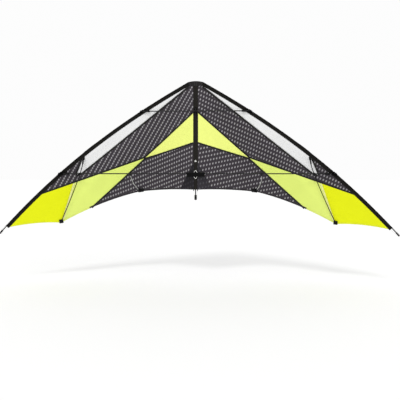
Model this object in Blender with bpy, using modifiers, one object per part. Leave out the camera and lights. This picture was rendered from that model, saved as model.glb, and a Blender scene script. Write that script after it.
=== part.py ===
"""A dual-line delta kite: a panelled sail on a frame of thin tubes. Metres, +Z up.

The frame lies in the XZ plane. +X runs out along the right wing, +Z runs up the spine to the nose,
and the sail bellies out behind the frame, towards +Y. The origin is on the spine's axis, level with
the lower spreader. Each wing is built once, on the +X side, and mirrored to make the other.
"""

import math

import bmesh
import bpy
import numpy as np
from mathutils import Matrix, Vector

# ---- Overall sizes ----
SPAN = 2.200  # over the two tip caps
NOSE_Z = 0.511  # top of the nose webbing
TIP_Z = -0.330  # leading edge axis at the tube's outer end
SPINE_FOOT_Z = -0.144  # underside of the spine's end cap
UPPER_SPREADER_Z = 0.344

# ---- Leading edge: a smooth bow from the nose to the tip ----
LE_START_X = 0.036  # inner end of the leading edge tube
LE_START_DROP = 0.0075  # tube axis there, below the top of the nose
NOSE_FLATTER = math.radians(8.7)  # the bow leaves the nose flatter than its chord
TIP_STEEPER = math.radians(9.7)  # and reaches the tip steeper
FERRULE_Z = 0.139  # height at which the two leading edge tubes are joined
FERRULE_LENGTH = 0.064

# ---- Tubes and rods ----
TUBE_R = 0.0030
TUBE_WALL = 0.0008
UPPER_SPREADER_R = 0.00275
STANDOFF_R = 0.0019
WHISKER_R = 0.0024
FERRULE_WALL = 0.0010
SPREADER_Y = -0.0090  # spreader axes, in front of the spine's axis

# ---- Clearances ----
GAP = 0.0003
LAP_GAP = 0.0012  # between a sail panel's flat facets and a piece that lies on it
FOOT_LAP = 0.0022  # the same for a foot, where the sail curves most

# ---- Cloth ----
SAIL_THICK = 0.0008
SLEEVE_THICK = 0.0006
SLEEVE_SLACK = 0.0006  # room between a tube and its sleeve
SLEEVE_DEPTH = 0.0172  # leading edge sleeve, tube axis to its seam
BAND_HALF = 0.00045  # half the spacing of a sleeve's two layers
SLEEVE_START_X = 0.040
SPINE_SLEEVE_HALF = 0.0138
SPINE_OPENING_HALF_WIDTH = 0.0075
UPPER_OPENING = (0.040, 0.019)  # below and above the upper spreader's level
PANEL_GRID = 0.040
LE_STEP = 0.060

# ---- Sail plan ----
TRAILING_Z = -0.0875  # trailing edge at the spine
STANDOFF_SEAT = (0.340, -0.106)  # trailing edge corner that the standoff holds out
WHISKER_INBOARD = 0.324  # trailing edge corner of the whisker, in from the tip
WHISKER_RISE = 0.049  # and above the tip
TIP_CORNER_INBOARD = 0.048
SLEEVE_END_INBOARD = 0.042
TRAILING_BOW = (0.006, 0.018, 0.009)  # how far each stretch of the edge is hollowed
STANDOFF_DEPTH = 0.175
WHISKER_DEPTH = 0.092
TRAILING_BILLOW = (0.010, 0.010, 0.006)  # extra depth at the middle of each stretch
BILLOW_POWER = 1.25
CROSSING = (0.296, 0.089)  # where the four inner panels meet
CENTRE_PANEL_TOP = 0.335
CENTRE_PANEL_FOOT = 0.175
OUTER_SEAM_SHARE = 0.64  # where the outer panel's seam meets the standoff-whisker edge
TIP_SEAM_SHARE = 0.705  # where the tip panel's seam leaves the crossing's long seam
TIP_SEAM_Z = -0.100  # leading edge height at which the tip panel starts
WINDOW_TOP_X = 0.047
WINDOW_OUTER_Z = 0.100
WINDOW_OUTER_RUN = (0.043, -0.094)  # window's outer edge
WINDOW_FOOT_RUN = (0.017, -0.084)  # from the same corner to the window's foot
PATCH_TOP = 0.060
PATCH_WIDTH = 0.088

# ---- Fittings ----
COLLAR_R = 0.0060
COLLAR_LENGTH = 0.024
SLEEVE_CUT = 0.046  # length of sleeve cut away round a leading edge fitting
CLIP_WALL = 0.0020
CLIP_LIP = 0.0010  # how far a clip's lips pass the tube's front
LOWER_ARM = 0.056
UPPER_ARM = 0.046
ARM_OVERSHOOT = 0.0052
ARM_BACK_Y = -0.0028
END_WALL = 0.0012
T_HALF = 0.050
T_TOP, T_BOTTOM = 0.0070, -0.0160
T_FRONT_Y, T_BACK_Y = -0.0155, -0.0027
T_COLLAR_TOP, T_COLLAR_BOTTOM = 0.012, -0.022
T_SOCKET_DEPTH = 0.022
SPREADER_TRAVEL = 0.024  # outward slide that frees a lower spreader from the T
STANDOFF_CLIP_OUTBOARD = 0.020
CLIP_WIDTH = 0.010
BOSS_WALL = 0.0011  # of a foot's socket, round its rod
BOSS_LENGTH = 0.013
SOCKET_FLOOR = 0.004
FOOT_THICK = 0.0020
STANDOFF_BOSS = (0.0040, 0.024)  # radius and length of the clip's socket
STANDOFF_FOOT = (0.033, 0.022)
STANDOFF_FOOT_INBOARD = 0.012  # of the corner, so that the rod stands near its outer end
WHISKER_FOOT = (0.021, 0.021)
WHISKER_SOCKET = (0.0039, 0.036)  # radius and length
WHISKER_SOCKET_INBOARD = 0.0045  # from the sail's seam beside it
WHISKER_SOCKET_RISE = 0.0015
TIP_CAP = (0.0045, 0.024)  # radius and length
SPINE_CAP = (0.0062, 0.027)
CAP_FLOOR = 0.006
CAP_SLOT = (0.0026, 0.0045)  # width and depth of a cap's nock
CORD_R = 0.0009
KNOT_R = 0.0035
KNOT_Z = 0.069
LOOP_RISE = 0.0135  # how far the loop over the T passes its top and bottom

# ---- Small shares and offsets ----
BORE_SIDES = 16
BORE_OVER = 1 / math.cos(math.pi / BORE_SIDES)  # so that a bore's flats clear a round tube
FOOT_SLANT = 0.15  # of a foot's height, along its width
FOOT_SEAT_SHARE = 0.45  # how far up a foot its rod aims
SOCKET_SLACK = GAP * 1.1
WHISKER_SLACK = GAP * 1.5
STANDOFF_BEND = Vector((0.020, 0.010, -0.004))  # the rod's middle control point, off the straight line
WHISKER_KNEE = Vector((0.008, 0.0025, -0.062))  # from the top of the socket
WHISKER_LAST = Vector((-0.090, -0.058, 0.168))  # last control point, from the seat
WEBBING_HEIGHT = 0.026
WEBBING_SQUEEZE = (0.985, 0.36)  # of a round plug, across and through
SPINE_TOP_DROP = 0.009  # top of the spine tube, below the top of the nose
CLIP_HALF = (0.0065, 0.006)  # half width and half height of the upper spreader's clip
CLIP_BACK_Y = -0.0045

DOWN = Vector((0, 0, -1))
BACK = Vector((0, 1, 0))
ACROSS = Vector((1, 0, 0))


# ---- The leading edge curve ----
def hermite(t, z0, z1, rise0, rise1):
    """Cubic through z0 and z1 whose end slopes over the whole run are rise0 and rise1."""
    return (
        (2 * t**3 - 3 * t**2 + 1) * z0
        + (t**3 - 2 * t**2 + t) * rise0
        + (3 * t**2 - 2 * t**3) * z1
        + (t**3 - t**2) * rise1
    )


LE_END_X = SPAN / 2 - 0.008
LE_RUN = LE_END_X - LE_START_X
LE_START_Z = NOSE_Z - LE_START_DROP
CHORD = math.atan2(LE_START_Z - TIP_Z, LE_RUN)


def le_z(x):
    """Height of the leading edge tube's axis at x."""
    t = (x - LE_START_X) / LE_RUN
    start_rise = -math.tan(CHORD - NOSE_FLATTER) * LE_RUN
    end_rise = -math.tan(CHORD + TIP_STEEPER) * LE_RUN
    return hermite(t, LE_START_Z, TIP_Z, start_rise, end_rise)


def le_x(z):
    """Where along the wing the leading edge axis passes height z."""
    xs = np.linspace(LE_START_X, LE_END_X, 2000)
    return float(np.interp(-z, -le_z(xs), xs))


def le_point(x):
    return Vector((x, 0, float(le_z(x))))


def le_tangent(x):
    return (le_point(x + 1e-4) - le_point(x - 1e-4)).normalized()


def le_inward(x):
    """Unit vector in the frame plane, square to the leading edge and towards the sail."""
    t = le_tangent(x)
    return Vector((t.z, 0, -t.x))


UPPER_FIT_X = le_x(UPPER_SPREADER_Z)
LOWER_FIT_X = le_x(0.0)
FERRULE_X = le_x(FERRULE_Z)


def le_span(centre_x, length):
    """The two stations that bound this length of leading edge, centred on a station."""
    half = length / 2 * le_tangent(centre_x).x
    return centre_x - half, centre_x + half


UPPER_CUT = le_span(UPPER_FIT_X, SLEEVE_CUT)
LOWER_CUT = le_span(LOWER_FIT_X, SLEEVE_CUT)
FERRULE_ENDS = le_span(FERRULE_X, FERRULE_LENGTH)
SLEEVE_END_X = SPAN / 2 - SLEEVE_END_INBOARD


def stations():
    """Every station that a leading edge piece may have a section at, nose to tip."""
    fixed = [LE_START_X, SLEEVE_START_X, *UPPER_CUT, *FERRULE_ENDS, FERRULE_X]
    fixed = sorted(fixed + [*LOWER_CUT, SLEEVE_END_X, LE_END_X])
    found = []
    for a, b in zip(fixed, fixed[1:]):
        steps = max(1, round((b - a) / LE_STEP))
        found += [a + (b - a) * i / steps for i in range(steps)]
    return found + [LE_END_X]


STATIONS = stations()


def stations_between(a, b):
    return [x for x in STATIONS if a - 1e-6 <= x <= b + 1e-6]


# ---- The sail surface, in plan coordinates (x, z) ----
SAIL_X = SPINE_SLEEVE_HALF + 0.0005  # inner edge of each wing's sail
EDGE_XS = np.linspace(0.015, LE_END_X, 400)
EDGE = [le_point(x) + le_inward(x) * (SLEEVE_DEPTH + GAP) for x in EDGE_XS]
EDGE_X = np.array([p.x for p in EDGE])
EDGE_Z = np.array([p.z for p in EDGE])
APEX_Z = float(np.interp(SAIL_X, EDGE_X, EDGE_Z))
WHISKER_SEAT = (SPAN / 2 - WHISKER_INBOARD, TIP_Z + WHISKER_RISE)


def sail_edge(station):
    """Plan point on the sail's leading edge seam beside a station."""
    p = le_point(station) + le_inward(station) * (SLEEVE_DEPTH + GAP)
    return p.x, p.z


TIP_CORNER = sail_edge(SPAN / 2 - TIP_CORNER_INBOARD)
TRAILING_CORNERS = [(SAIL_X, TRAILING_Z), STANDOFF_SEAT, WHISKER_SEAT, TIP_CORNER]
CORNER_DEPTHS = [0.0, STANDOFF_DEPTH, WHISKER_DEPTH, 0.0]


def trailing_point(stretch, t):
    """Plan point at share t of one stretch of the trailing edge, hollowed by its bow."""
    (xa, za), (xb, zb) = TRAILING_CORNERS[stretch], TRAILING_CORNERS[stretch + 1]
    return xa + (xb - xa) * t, za + (zb - za) * t + 4 * TRAILING_BOW[stretch] * t * (1 - t)


def trailing_depth(stretch, t):
    a, b = CORNER_DEPTHS[stretch], CORNER_DEPTHS[stretch + 1]
    return a + (b - a) * t + 4 * TRAILING_BILLOW[stretch] * t * (1 - t)


def polar(x, z):
    """Distance from the sail's apex, and angle from straight down."""
    return np.hypot(x - SAIL_X, APEX_Z - z), np.arctan2(x - SAIL_X, APEX_Z - z)


EDGE_R, EDGE_ANGLE = polar(EDGE_X, EDGE_Z)


def share_across(x, z):
    """0 at the spine, 1 at the leading edge, along the arc about the apex through (x, z)."""
    r, angle = polar(x, z)
    return angle / np.interp(r, EDGE_R[20:], EDGE_ANGLE[20:])


def smoothed(values, width):
    """Running mean that keeps both end values."""
    ends = values[0], values[-1]
    before = 2 * ends[0] - values[width:0:-1]
    after = 2 * ends[1] - values[-2 : -width - 2 : -1]
    window = np.hanning(2 * width + 1)
    return np.convolve(np.r_[before, values, after], window / window.sum(), "valid")


def trailing_table():
    """Reach and depth of the trailing edge against the share across the sail."""
    ts = np.linspace(0, 1, 80)
    points = [trailing_point(s, t) for s in range(3) for t in ts]
    depths = [trailing_depth(s, t) for s in range(3) for t in ts]
    x, z = np.array(points).T
    share, reach = share_across(x, z), polar(x, z)[0]
    even = np.linspace(0, 1, 401)
    return even, np.interp(even, share, reach), smoothed(np.interp(even, share, depths), 22)


TRAILING_SHARE, TRAILING_REACH, TRAILING_DEPTH = trailing_table()


def billow(x, z):
    """How far the sail stands behind the frame plane at a plan point."""
    share = min(max(float(share_across(x, z)), 0.0), 1.0)
    reach = np.interp(share, TRAILING_SHARE, TRAILING_REACH)
    depth = np.interp(share, TRAILING_SHARE, TRAILING_DEPTH)
    return float(depth * (polar(x, z)[0] / reach) ** BILLOW_POWER)


def sail_point(x, z):
    return Vector((x, billow(x, z), z))


def sail_normal(x, z):
    """Unit normal of the sail, towards the front."""
    e = 0.002
    along = sail_point(x + e, z) - sail_point(x - e, z)
    up = sail_point(x, z + e) - sail_point(x, z - e)
    n = along.cross(up).normalized()
    return n if n.y < 0 else -n


# ---- Scene set-up, materials ----
for old in list(bpy.data.objects):
    bpy.data.objects.remove(old, do_unlink=True)

kite = bpy.data.collections.new("delta_kite")
bpy.context.scene.collection.children.link(kite)


def material(name, color, roughness, metallic=0.0):
    made = bpy.data.materials.new(name)
    made.use_nodes = True
    shader = made.node_tree.nodes["Principled BSDF"]
    shader.inputs["Base Color"].default_value = (*color, 1)
    shader.inputs["Roughness"].default_value = roughness
    shader.inputs["Metallic"].default_value = metallic
    made.diffuse_color = (*color, 1)
    return made


CARBON = material("carbon_tube", (0.025, 0.025, 0.028), 0.35)
RUBBER = material("moulded_rubber", (0.012, 0.012, 0.013), 0.6)
PLASTIC = material("black_plastic", (0.015, 0.015, 0.017), 0.4)
PALE_ROD = material("pale_rod", (0.62, 0.63, 0.60), 0.35)
ALUMINIUM = material("ferrule_aluminium", (0.75, 0.76, 0.77), 0.3, 1.0)
SLEEVE_CLOTH = material("sleeve_cloth", (0.018, 0.016, 0.015), 0.75)
DARK_CLOTH = material("dark_print_cloth", (0.06, 0.05, 0.062), 0.55)
WHITE_CLOTH = material("white_cloth", (0.78, 0.79, 0.78), 0.5)
CENTRE_CLOTH = material("pale_yellow_cloth", (0.87, 0.95, 0.26), 0.5)
LIME_CLOTH = material("lime_cloth", (0.76, 0.90, 0.22), 0.5)
NEON_CLOTH = material("neon_yellow_cloth", (0.80, 0.87, 0.01), 0.5)
CORD = material("pale_cord", (0.78, 0.78, 0.74), 0.7)


# ---- Building helpers ----
def add_object(name, mesh, mat):
    obj = bpy.data.objects.new(name, mesh)
    kite.objects.link(obj)
    obj.data.materials.clear()
    obj.data.materials.append(mat)
    return obj


def from_bmesh(name, bm, mat):
    mesh = bpy.data.meshes.new(name)
    bmesh.ops.recalc_face_normals(bm, faces=bm.faces)
    bm.to_mesh(mesh)
    bm.free()
    return add_object(name, mesh, mat)


def evaluated_mesh(obj):
    graph = bpy.context.evaluated_depsgraph_get()
    return bpy.data.meshes.new_from_object(obj.evaluated_get(graph))


def boolean(target, tools, operation):
    """Joins each tool to the target, or cuts it away, and removes the tool."""
    for tool in tools:
        step = target.modifiers.new(operation.lower(), "BOOLEAN")
        step.operation = operation
        step.object = tool
        mesh = evaluated_mesh(target)
        target.modifiers.clear()
        target.data = mesh
        bpy.data.objects.remove(tool, do_unlink=True)
    return target


def cylinder(name, start, end, radius, mat, sides=16):
    axis = end - start
    bm = bmesh.new()
    bmesh.ops.create_cone(
        bm, cap_ends=True, segments=sides, radius1=radius, radius2=radius, depth=axis.length
    )
    turn = DOWN.rotation_difference(-axis).to_matrix().to_4x4()
    bmesh.ops.transform(bm, matrix=Matrix.Translation((start + end) / 2) @ turn, verts=bm.verts)
    return from_bmesh(name, bm, mat)


def tube_bore(name, start, end, mat):
    """A cutter that clears a frame tube all round."""
    return cylinder(name, start, end, (TUBE_R + GAP) * BORE_OVER, mat, BORE_SIDES)


def block(name, low, high, mat, rounding=0.0):
    low, high = Vector(low), Vector(high)
    bm = bmesh.new()
    bmesh.ops.create_cube(bm, size=1)
    bmesh.ops.scale(bm, vec=high - low, verts=bm.verts)
    bmesh.ops.translate(bm, vec=(low + high) / 2, verts=bm.verts)
    if rounding:
        bmesh.ops.bevel(
            bm, geom=bm.edges[:], offset=rounding, segments=2, affect="EDGES", profile=0.5
        )
    return from_bmesh(name, bm, mat)


def lofted(name, sections, closed, thickness, mat):
    """A cloth or tube wall: quads between like sections, given its thickness by Solidify."""
    bm = bmesh.new()
    rows = [[bm.verts.new(p) for p in section] for section in sections]
    count = len(sections[0])
    for one, two in zip(rows, rows[1:]):
        for i in range(count if closed else count - 1):
            j = (i + 1) % count
            bm.faces.new((one[i], one[j], two[j], two[i]))
    obj = from_bmesh(name, bm, mat)
    solid = obj.modifiers.new("wall", "SOLIDIFY")
    solid.thickness = thickness
    solid.offset = 0
    return obj


def ring(centre, side, up, radius, sides=10):
    turns = [2 * math.pi * (i + 0.5) / sides for i in range(sides)]
    return [centre + side * (radius * math.cos(a)) + up * (radius * math.sin(a)) for a in turns]


def le_tube(name, points_x, outer_r, wall, mat):
    """A hollow tube that follows the leading edge."""
    middle = outer_r - wall / 2
    sections = [ring(le_point(x), le_inward(x), BACK, middle) for x in points_x]
    return lofted(name, sections, True, wall, mat)


def straight_tube(name, start, end, outer_r, wall, mat, sides=12):
    """A hollow tube with both ends open."""
    axis = (end - start).normalized()
    side = axis.orthogonal().normalized()
    up = axis.cross(side)
    middle = outer_r - wall / 2
    sections = [ring(p, side, up, middle, sides) for p in (start, end)]
    return lofted(name, sections, True, wall, mat)


def rod(name, points, radius, mat):
    """A solid rod or cord along a list of points."""
    curve = bpy.data.curves.new(name, "CURVE")
    curve.dimensions = "3D"
    curve.bevel_depth = radius
    curve.bevel_resolution = 2
    curve.use_fill_caps = True
    spline = curve.splines.new("POLY")
    spline.points.add(len(points) - 1)
    for knot, p in zip(spline.points, points):
        knot.co = (*p, 1)
    return add_object(name, curve, mat)


def bezier(controls, t):
    """Point at t on the Bezier curve with these control points."""
    points = list(controls)
    while len(points) > 1:
        points = [a.lerp(b, t) for a, b in zip(points, points[1:])]
    return points[0]


def sail_sheet(name, outline, lift, thickness, mat, grid=PANEL_GRID):
    """A flat outline in plan, cut to a grid, laid on the sail and lifted towards the front."""
    bm = bmesh.new()
    bm.faces.new([bm.verts.new((x, 0, z)) for x, z in outline])
    xs, zs = zip(*outline)
    cuts = [(ACROSS, i) for i in range(math.ceil(min(xs) / grid), math.ceil(max(xs) / grid))]
    cuts += [(DOWN, -i) for i in range(math.ceil(min(zs) / grid), math.ceil(max(zs) / grid))]
    for normal, i in cuts:
        geometry = bm.verts[:] + bm.edges[:] + bm.faces[:]
        place = normal * i * grid
        bmesh.ops.bisect_plane(bm, geom=geometry, dist=1e-6, plane_co=place, plane_no=normal)
    bmesh.ops.triangulate(bm, faces=bm.faces)
    for v in bm.verts:
        plan = v.co.x, v.co.z
        v.co = sail_point(*plan) + sail_normal(*plan) * lift
    obj = from_bmesh(name, bm, mat)
    solid = obj.modifiers.new("cloth", "SOLIDIFY")
    solid.thickness = thickness
    solid.offset = 0
    return obj


def inset(outline, distance):
    """The outline moved in by a distance all round."""
    points = [Vector(p) for p in outline]
    area = sum(a.x * b.y - a.y * b.x for a, b in zip(points, points[1:] + points[:1]))
    turn = 1 if area > 0 else -1
    moved = []
    for before, here, after in zip(points[-1:] + points, points, points[1:] + points[:1]):
        a, b = (here - before).normalized(), (after - here).normalized()
        na, nb = Vector((-a.y, a.x)) * turn, Vector((-b.y, b.x)) * turn
        moved.append(here + (na + nb) * (distance / (1 + na.dot(nb))))
    return [(p.x, p.y) for p in moved]


# ---- Sleeves ----
def pocket_radius(x):
    """Middle of the sleeve's cloth round the tube, fuller over the ferrule."""
    inner = TUBE_R + SLEEVE_SLACK
    over_ferrule = TUBE_R + GAP + FERRULE_WALL + SLEEVE_SLACK
    if FERRULE_ENDS[0] - 1e-6 <= x <= FERRULE_ENDS[1] + 1e-6:
        inner = over_ferrule
    return inner + SLEEVE_THICK / 2


def sleeve_section(x):
    """A strip folded round the tube, its two layers meeting at the sail's seam."""
    r = pocket_radius(x)
    arc = [math.radians(a) for a in range(-45, -316, -45)]
    plan = [(SLEEVE_DEPTH, -BAND_HALF), (2 * r, -BAND_HALF)]
    plan += [(r * math.cos(a), r * math.sin(a)) for a in arc]
    plan += [(2 * r, BAND_HALF), (SLEEVE_DEPTH, BAND_HALF)]
    return [le_point(x) + le_inward(x) * u + BACK * y for u, y in plan]


def le_sleeve(name, start, end):
    sections = [sleeve_section(x) for x in stations_between(start, end)]
    return lofted(name, sections, False, SLEEVE_THICK, SLEEVE_CLOTH)


# ---- Clips that hold a spreader from behind and are open to the front ----
def channel_cutters(x_from, x_to, z, rod_r):
    """Bore for a spreader between two x values, and the slot that opens it to the front."""
    r = rod_r + GAP
    a, b = Vector((x_from, SPREADER_Y, z)), Vector((x_to, SPREADER_Y, z))
    bore = cylinder("bore", a, b, r * BORE_OVER, RUBBER, BORE_SIDES)
    slot = block("slot", (x_from, SPREADER_Y - 0.03, z - r), (x_to, SPREADER_Y, z + r), RUBBER)
    return [bore, slot]


def le_fitting(name, centre_x, z, arm, rod_r):
    """A collar on the leading edge tube with an arm that takes the spreader's end."""
    a, b = (le_point(x) for x in le_span(centre_x, SLEEVE_CUT))
    middle, along = (a + b) / 2, (b - a).normalized()
    half = along * COLLAR_LENGTH / 2
    body = cylinder(name, middle - half, middle + half, COLLAR_R, RUBBER)
    reach = rod_r + GAP + CLIP_WALL
    low = (centre_x - arm, SPREADER_Y - rod_r - CLIP_LIP, z - reach)
    high = (centre_x + ARM_OVERSHOOT, ARM_BACK_Y, z + reach)
    boolean(body, [block("arm", low, high, RUBBER, 0.0008)], "UNION")
    bore = tube_bore("bore", middle - half * 3, middle + half * 3, RUBBER)
    channel_end = centre_x + ARM_OVERSHOOT - END_WALL
    channel = channel_cutters(centre_x - arm - 0.01, channel_end, z, rod_r)
    return boolean(body, [bore, *channel], "DIFFERENCE")


def spreader_clip(name, x, back_y, rod_r):
    """A block snapped on a spreader at x, reaching back to back_y."""
    reach = rod_r + GAP + CLIP_WALL
    low = (x - CLIP_WIDTH / 2, SPREADER_Y - rod_r - CLIP_LIP, -reach)
    return block(name, low, (x + CLIP_WIDTH / 2, back_y, reach), PLASTIC, 0.0006)


# ---- One wing, on the +X side; every name here gets its side later ----
def leading_edge():
    lower_end = FERRULE_X + GAP / 2
    upper = [LE_START_X, *stations_between(SLEEVE_START_X, FERRULE_X)[:-1], FERRULE_X - GAP / 2]
    lower = [lower_end, *stations_between(FERRULE_X, LE_END_X)[1:]]
    sleeve_r = TUBE_R + GAP + FERRULE_WALL
    return [
        le_tube("le_upper_tube", upper, TUBE_R, TUBE_WALL, CARBON),
        le_tube("le_lower_tube", lower, TUBE_R, TUBE_WALL, CARBON),
        le_tube("le_ferrule", stations_between(*FERRULE_ENDS), sleeve_r, FERRULE_WALL, ALUMINIUM),
        le_sleeve("le_sleeve_upper", SLEEVE_START_X, UPPER_CUT[0]),
        le_sleeve("le_sleeve_middle", UPPER_CUT[1], LOWER_CUT[0]),
        le_sleeve("le_sleeve_lower", LOWER_CUT[1], SLEEVE_END_X),
        le_fitting("upper_le_fitting", UPPER_FIT_X, UPPER_SPREADER_Z, UPPER_ARM, UPPER_SPREADER_R),
        le_fitting("lower_le_fitting", LOWER_FIT_X, 0.0, LOWER_ARM, TUBE_R),
    ]


def edge_run(start, end):
    """Plan points along the leading edge seam between two stations."""
    inner = [x for x in STATIONS if min(start, end) + 0.01 < x < max(start, end) - 0.01]
    ordered = [start, *sorted(inner, reverse=start > end), end]
    return [sail_edge(x) for x in ordered]


def trailing_run(stretch, start, end, steps):
    return [trailing_point(stretch, start + (end - start) * i / steps) for i in range(steps + 1)]


def panels():
    """The six panels of a wing, edge to edge with a small gap at each seam."""
    tip_start = le_x(TIP_SEAM_Z)
    window_end = le_x(WINDOW_OUTER_Z)
    tip_end = SPAN / 2 - TIP_CORNER_INBOARD
    corner = sail_edge(window_end)
    window_outer = (corner[0] + WINDOW_OUTER_RUN[0], corner[1] + WINDOW_OUTER_RUN[1])
    window_foot = (corner[0] + WINDOW_FOOT_RUN[0], corner[1] + WINDOW_FOOT_RUN[1])
    neon = sail_edge(tip_start)
    share = TIP_SEAM_SHARE
    fork = tuple(c + (n - c) * share for c, n in zip(CROSSING, neon))
    high, low = (SAIL_X, CENTRE_PANEL_TOP), (SAIL_X, CENTRE_PANEL_FOOT)
    outlines = {
        "window_panel": (edge_run(WINDOW_TOP_X, window_end) + [window_outer, window_foot], WHITE_CLOTH),
        "upper_panel": (
            [(SAIL_X, APEX_Z), sail_edge(WINDOW_TOP_X), window_foot, window_outer]
            + edge_run(window_end, tip_start)
            + [fork, CROSSING, high],
            DARK_CLOTH,
        ),
        "centre_panel": ([high, CROSSING, low], CENTRE_CLOTH),
        "lower_panel": (
            [low, CROSSING]
            + trailing_run(1, OUTER_SEAM_SHARE, 0, 5)
            + trailing_run(0, 1, 0, 5)[1:],
            DARK_CLOTH,
        ),
        "outer_panel": ([CROSSING, fork] + trailing_run(1, 1, OUTER_SEAM_SHARE, 3), LIME_CLOTH),
        "tip_panel": (
            [fork] + edge_run(tip_start, tip_end) + trailing_run(2, 1, 0, 5)[1:],
            NEON_CLOTH,
        ),
    }
    return [
        sail_sheet(name, inset(outline, GAP / 2), 0.0, SAIL_THICK, mat)
        for name, (outline, mat) in outlines.items()
    ]


PATCH_LIFT = SAIL_THICK / 2 + LAP_GAP + SLEEVE_THICK / 2


def spine_patch():
    """Half of the reinforcement over the foot of the spine."""
    foot = trailing_point(0, (PATCH_WIDTH - SAIL_X) / (STANDOFF_SEAT[0] - SAIL_X))
    outline = [(SAIL_X, PATCH_TOP), foot, trailing_point(0, 0)]
    return sail_sheet("spine_patch", inset(outline, GAP), PATCH_LIFT, SLEEVE_THICK, SLEEVE_CLOTH)


def foot_frame(seat, towards, rod_r):
    """Where a rod's socket starts above the sail at a seat, and the rod's direction there."""
    point, normal = sail_point(*seat), sail_normal(*seat)
    lean = (towards - point).normalized().dot(normal)
    lift = SAIL_THICK / 2 + FOOT_LAP + GAP + (rod_r + BOSS_WALL) * math.sqrt(1 - lean**2)
    base = point + normal * lift
    return base, (towards - base).normalized()


def te_foot(name, corner, size, base, direction, rod_r):
    """A moulded plate on the trailing edge with a socket for a rod."""
    x, z = corner
    width, height = size
    rise = height * FOOT_SLANT
    outline = [(x - width / 2, z), (x + width / 2, z - rise), (x + width / 2, z + height - rise)]
    outline += [(x - width / 2, z + height)]
    lift = SAIL_THICK / 2 + FOOT_LAP + FOOT_THICK / 2
    plate = sail_sheet(name, outline, lift, FOOT_THICK, PLASTIC, grid=0.02)
    plate.data = evaluated_mesh(plate)
    plate.modifiers.clear()
    boss = cylinder("boss", base, base + direction * BOSS_LENGTH, rod_r + BOSS_WALL, PLASTIC, 12)
    boolean(plate, [boss], "UNION")
    floor, mouth = base + direction * SOCKET_FLOOR, base + direction * BOSS_LENGTH * 1.5
    socket = cylinder("socket", floor, mouth, rod_r + SOCKET_SLACK, PLASTIC, 12)
    return boolean(plate, [socket], "DIFFERENCE")


def seat_of(corner, size):
    """Centre of a foot's plate, in plan."""
    return corner[0], corner[1] + size[1] * FOOT_SEAT_SHARE


def rod_points(controls, count):
    return [bezier(controls, i / (count - 1)) for i in range(count)]


def standoff():
    """The curved rod that holds the sail's inner corner away from the lower spreader."""
    clip_x = STANDOFF_SEAT[0] + STANDOFF_CLIP_OUTBOARD
    seat = seat_of(STANDOFF_SEAT, STANDOFF_FOOT)
    root = Vector((clip_x, SPREADER_Y + TUBE_R + GAP + CLIP_WALL / 2, 0))
    boss_r, boss_length = STANDOFF_BOSS
    corner = (STANDOFF_SEAT[0] - STANDOFF_FOOT_INBOARD, STANDOFF_SEAT[1])
    bend = (root + sail_point(*seat)) / 2 + STANDOFF_BEND
    base, foot_way = foot_frame(seat, bend, STANDOFF_R)
    way = (bend - root).normalized()
    start = root + way * (SOCKET_FLOOR + GAP)
    controls = [root + way * boss_length, bend, base + foot_way * (SOCKET_FLOOR + GAP)]
    body = spreader_clip("standoff_clip", clip_x, root.y + CLIP_WALL / 2, TUBE_R)
    boss = cylinder("boss", root, root + way * boss_length, boss_r, PLASTIC, 12)
    boolean(body, [boss], "UNION")
    floor, mouth = root + way * SOCKET_FLOOR, root + way * boss_length * 1.5
    socket = cylinder("socket", floor, mouth, STANDOFF_R + SOCKET_SLACK, PLASTIC, 12)
    channel = channel_cutters(clip_x - CLIP_WIDTH, clip_x + CLIP_WIDTH, 0, TUBE_R)
    boolean(body, [socket, *channel], "DIFFERENCE")
    return [
        rod("standoff_rod", [start, *rod_points(controls, 9)], STANDOFF_R, PALE_ROD),
        body,
        te_foot("standoff_foot", corner, STANDOFF_FOOT, base, foot_way, STANDOFF_R),
    ]


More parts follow.
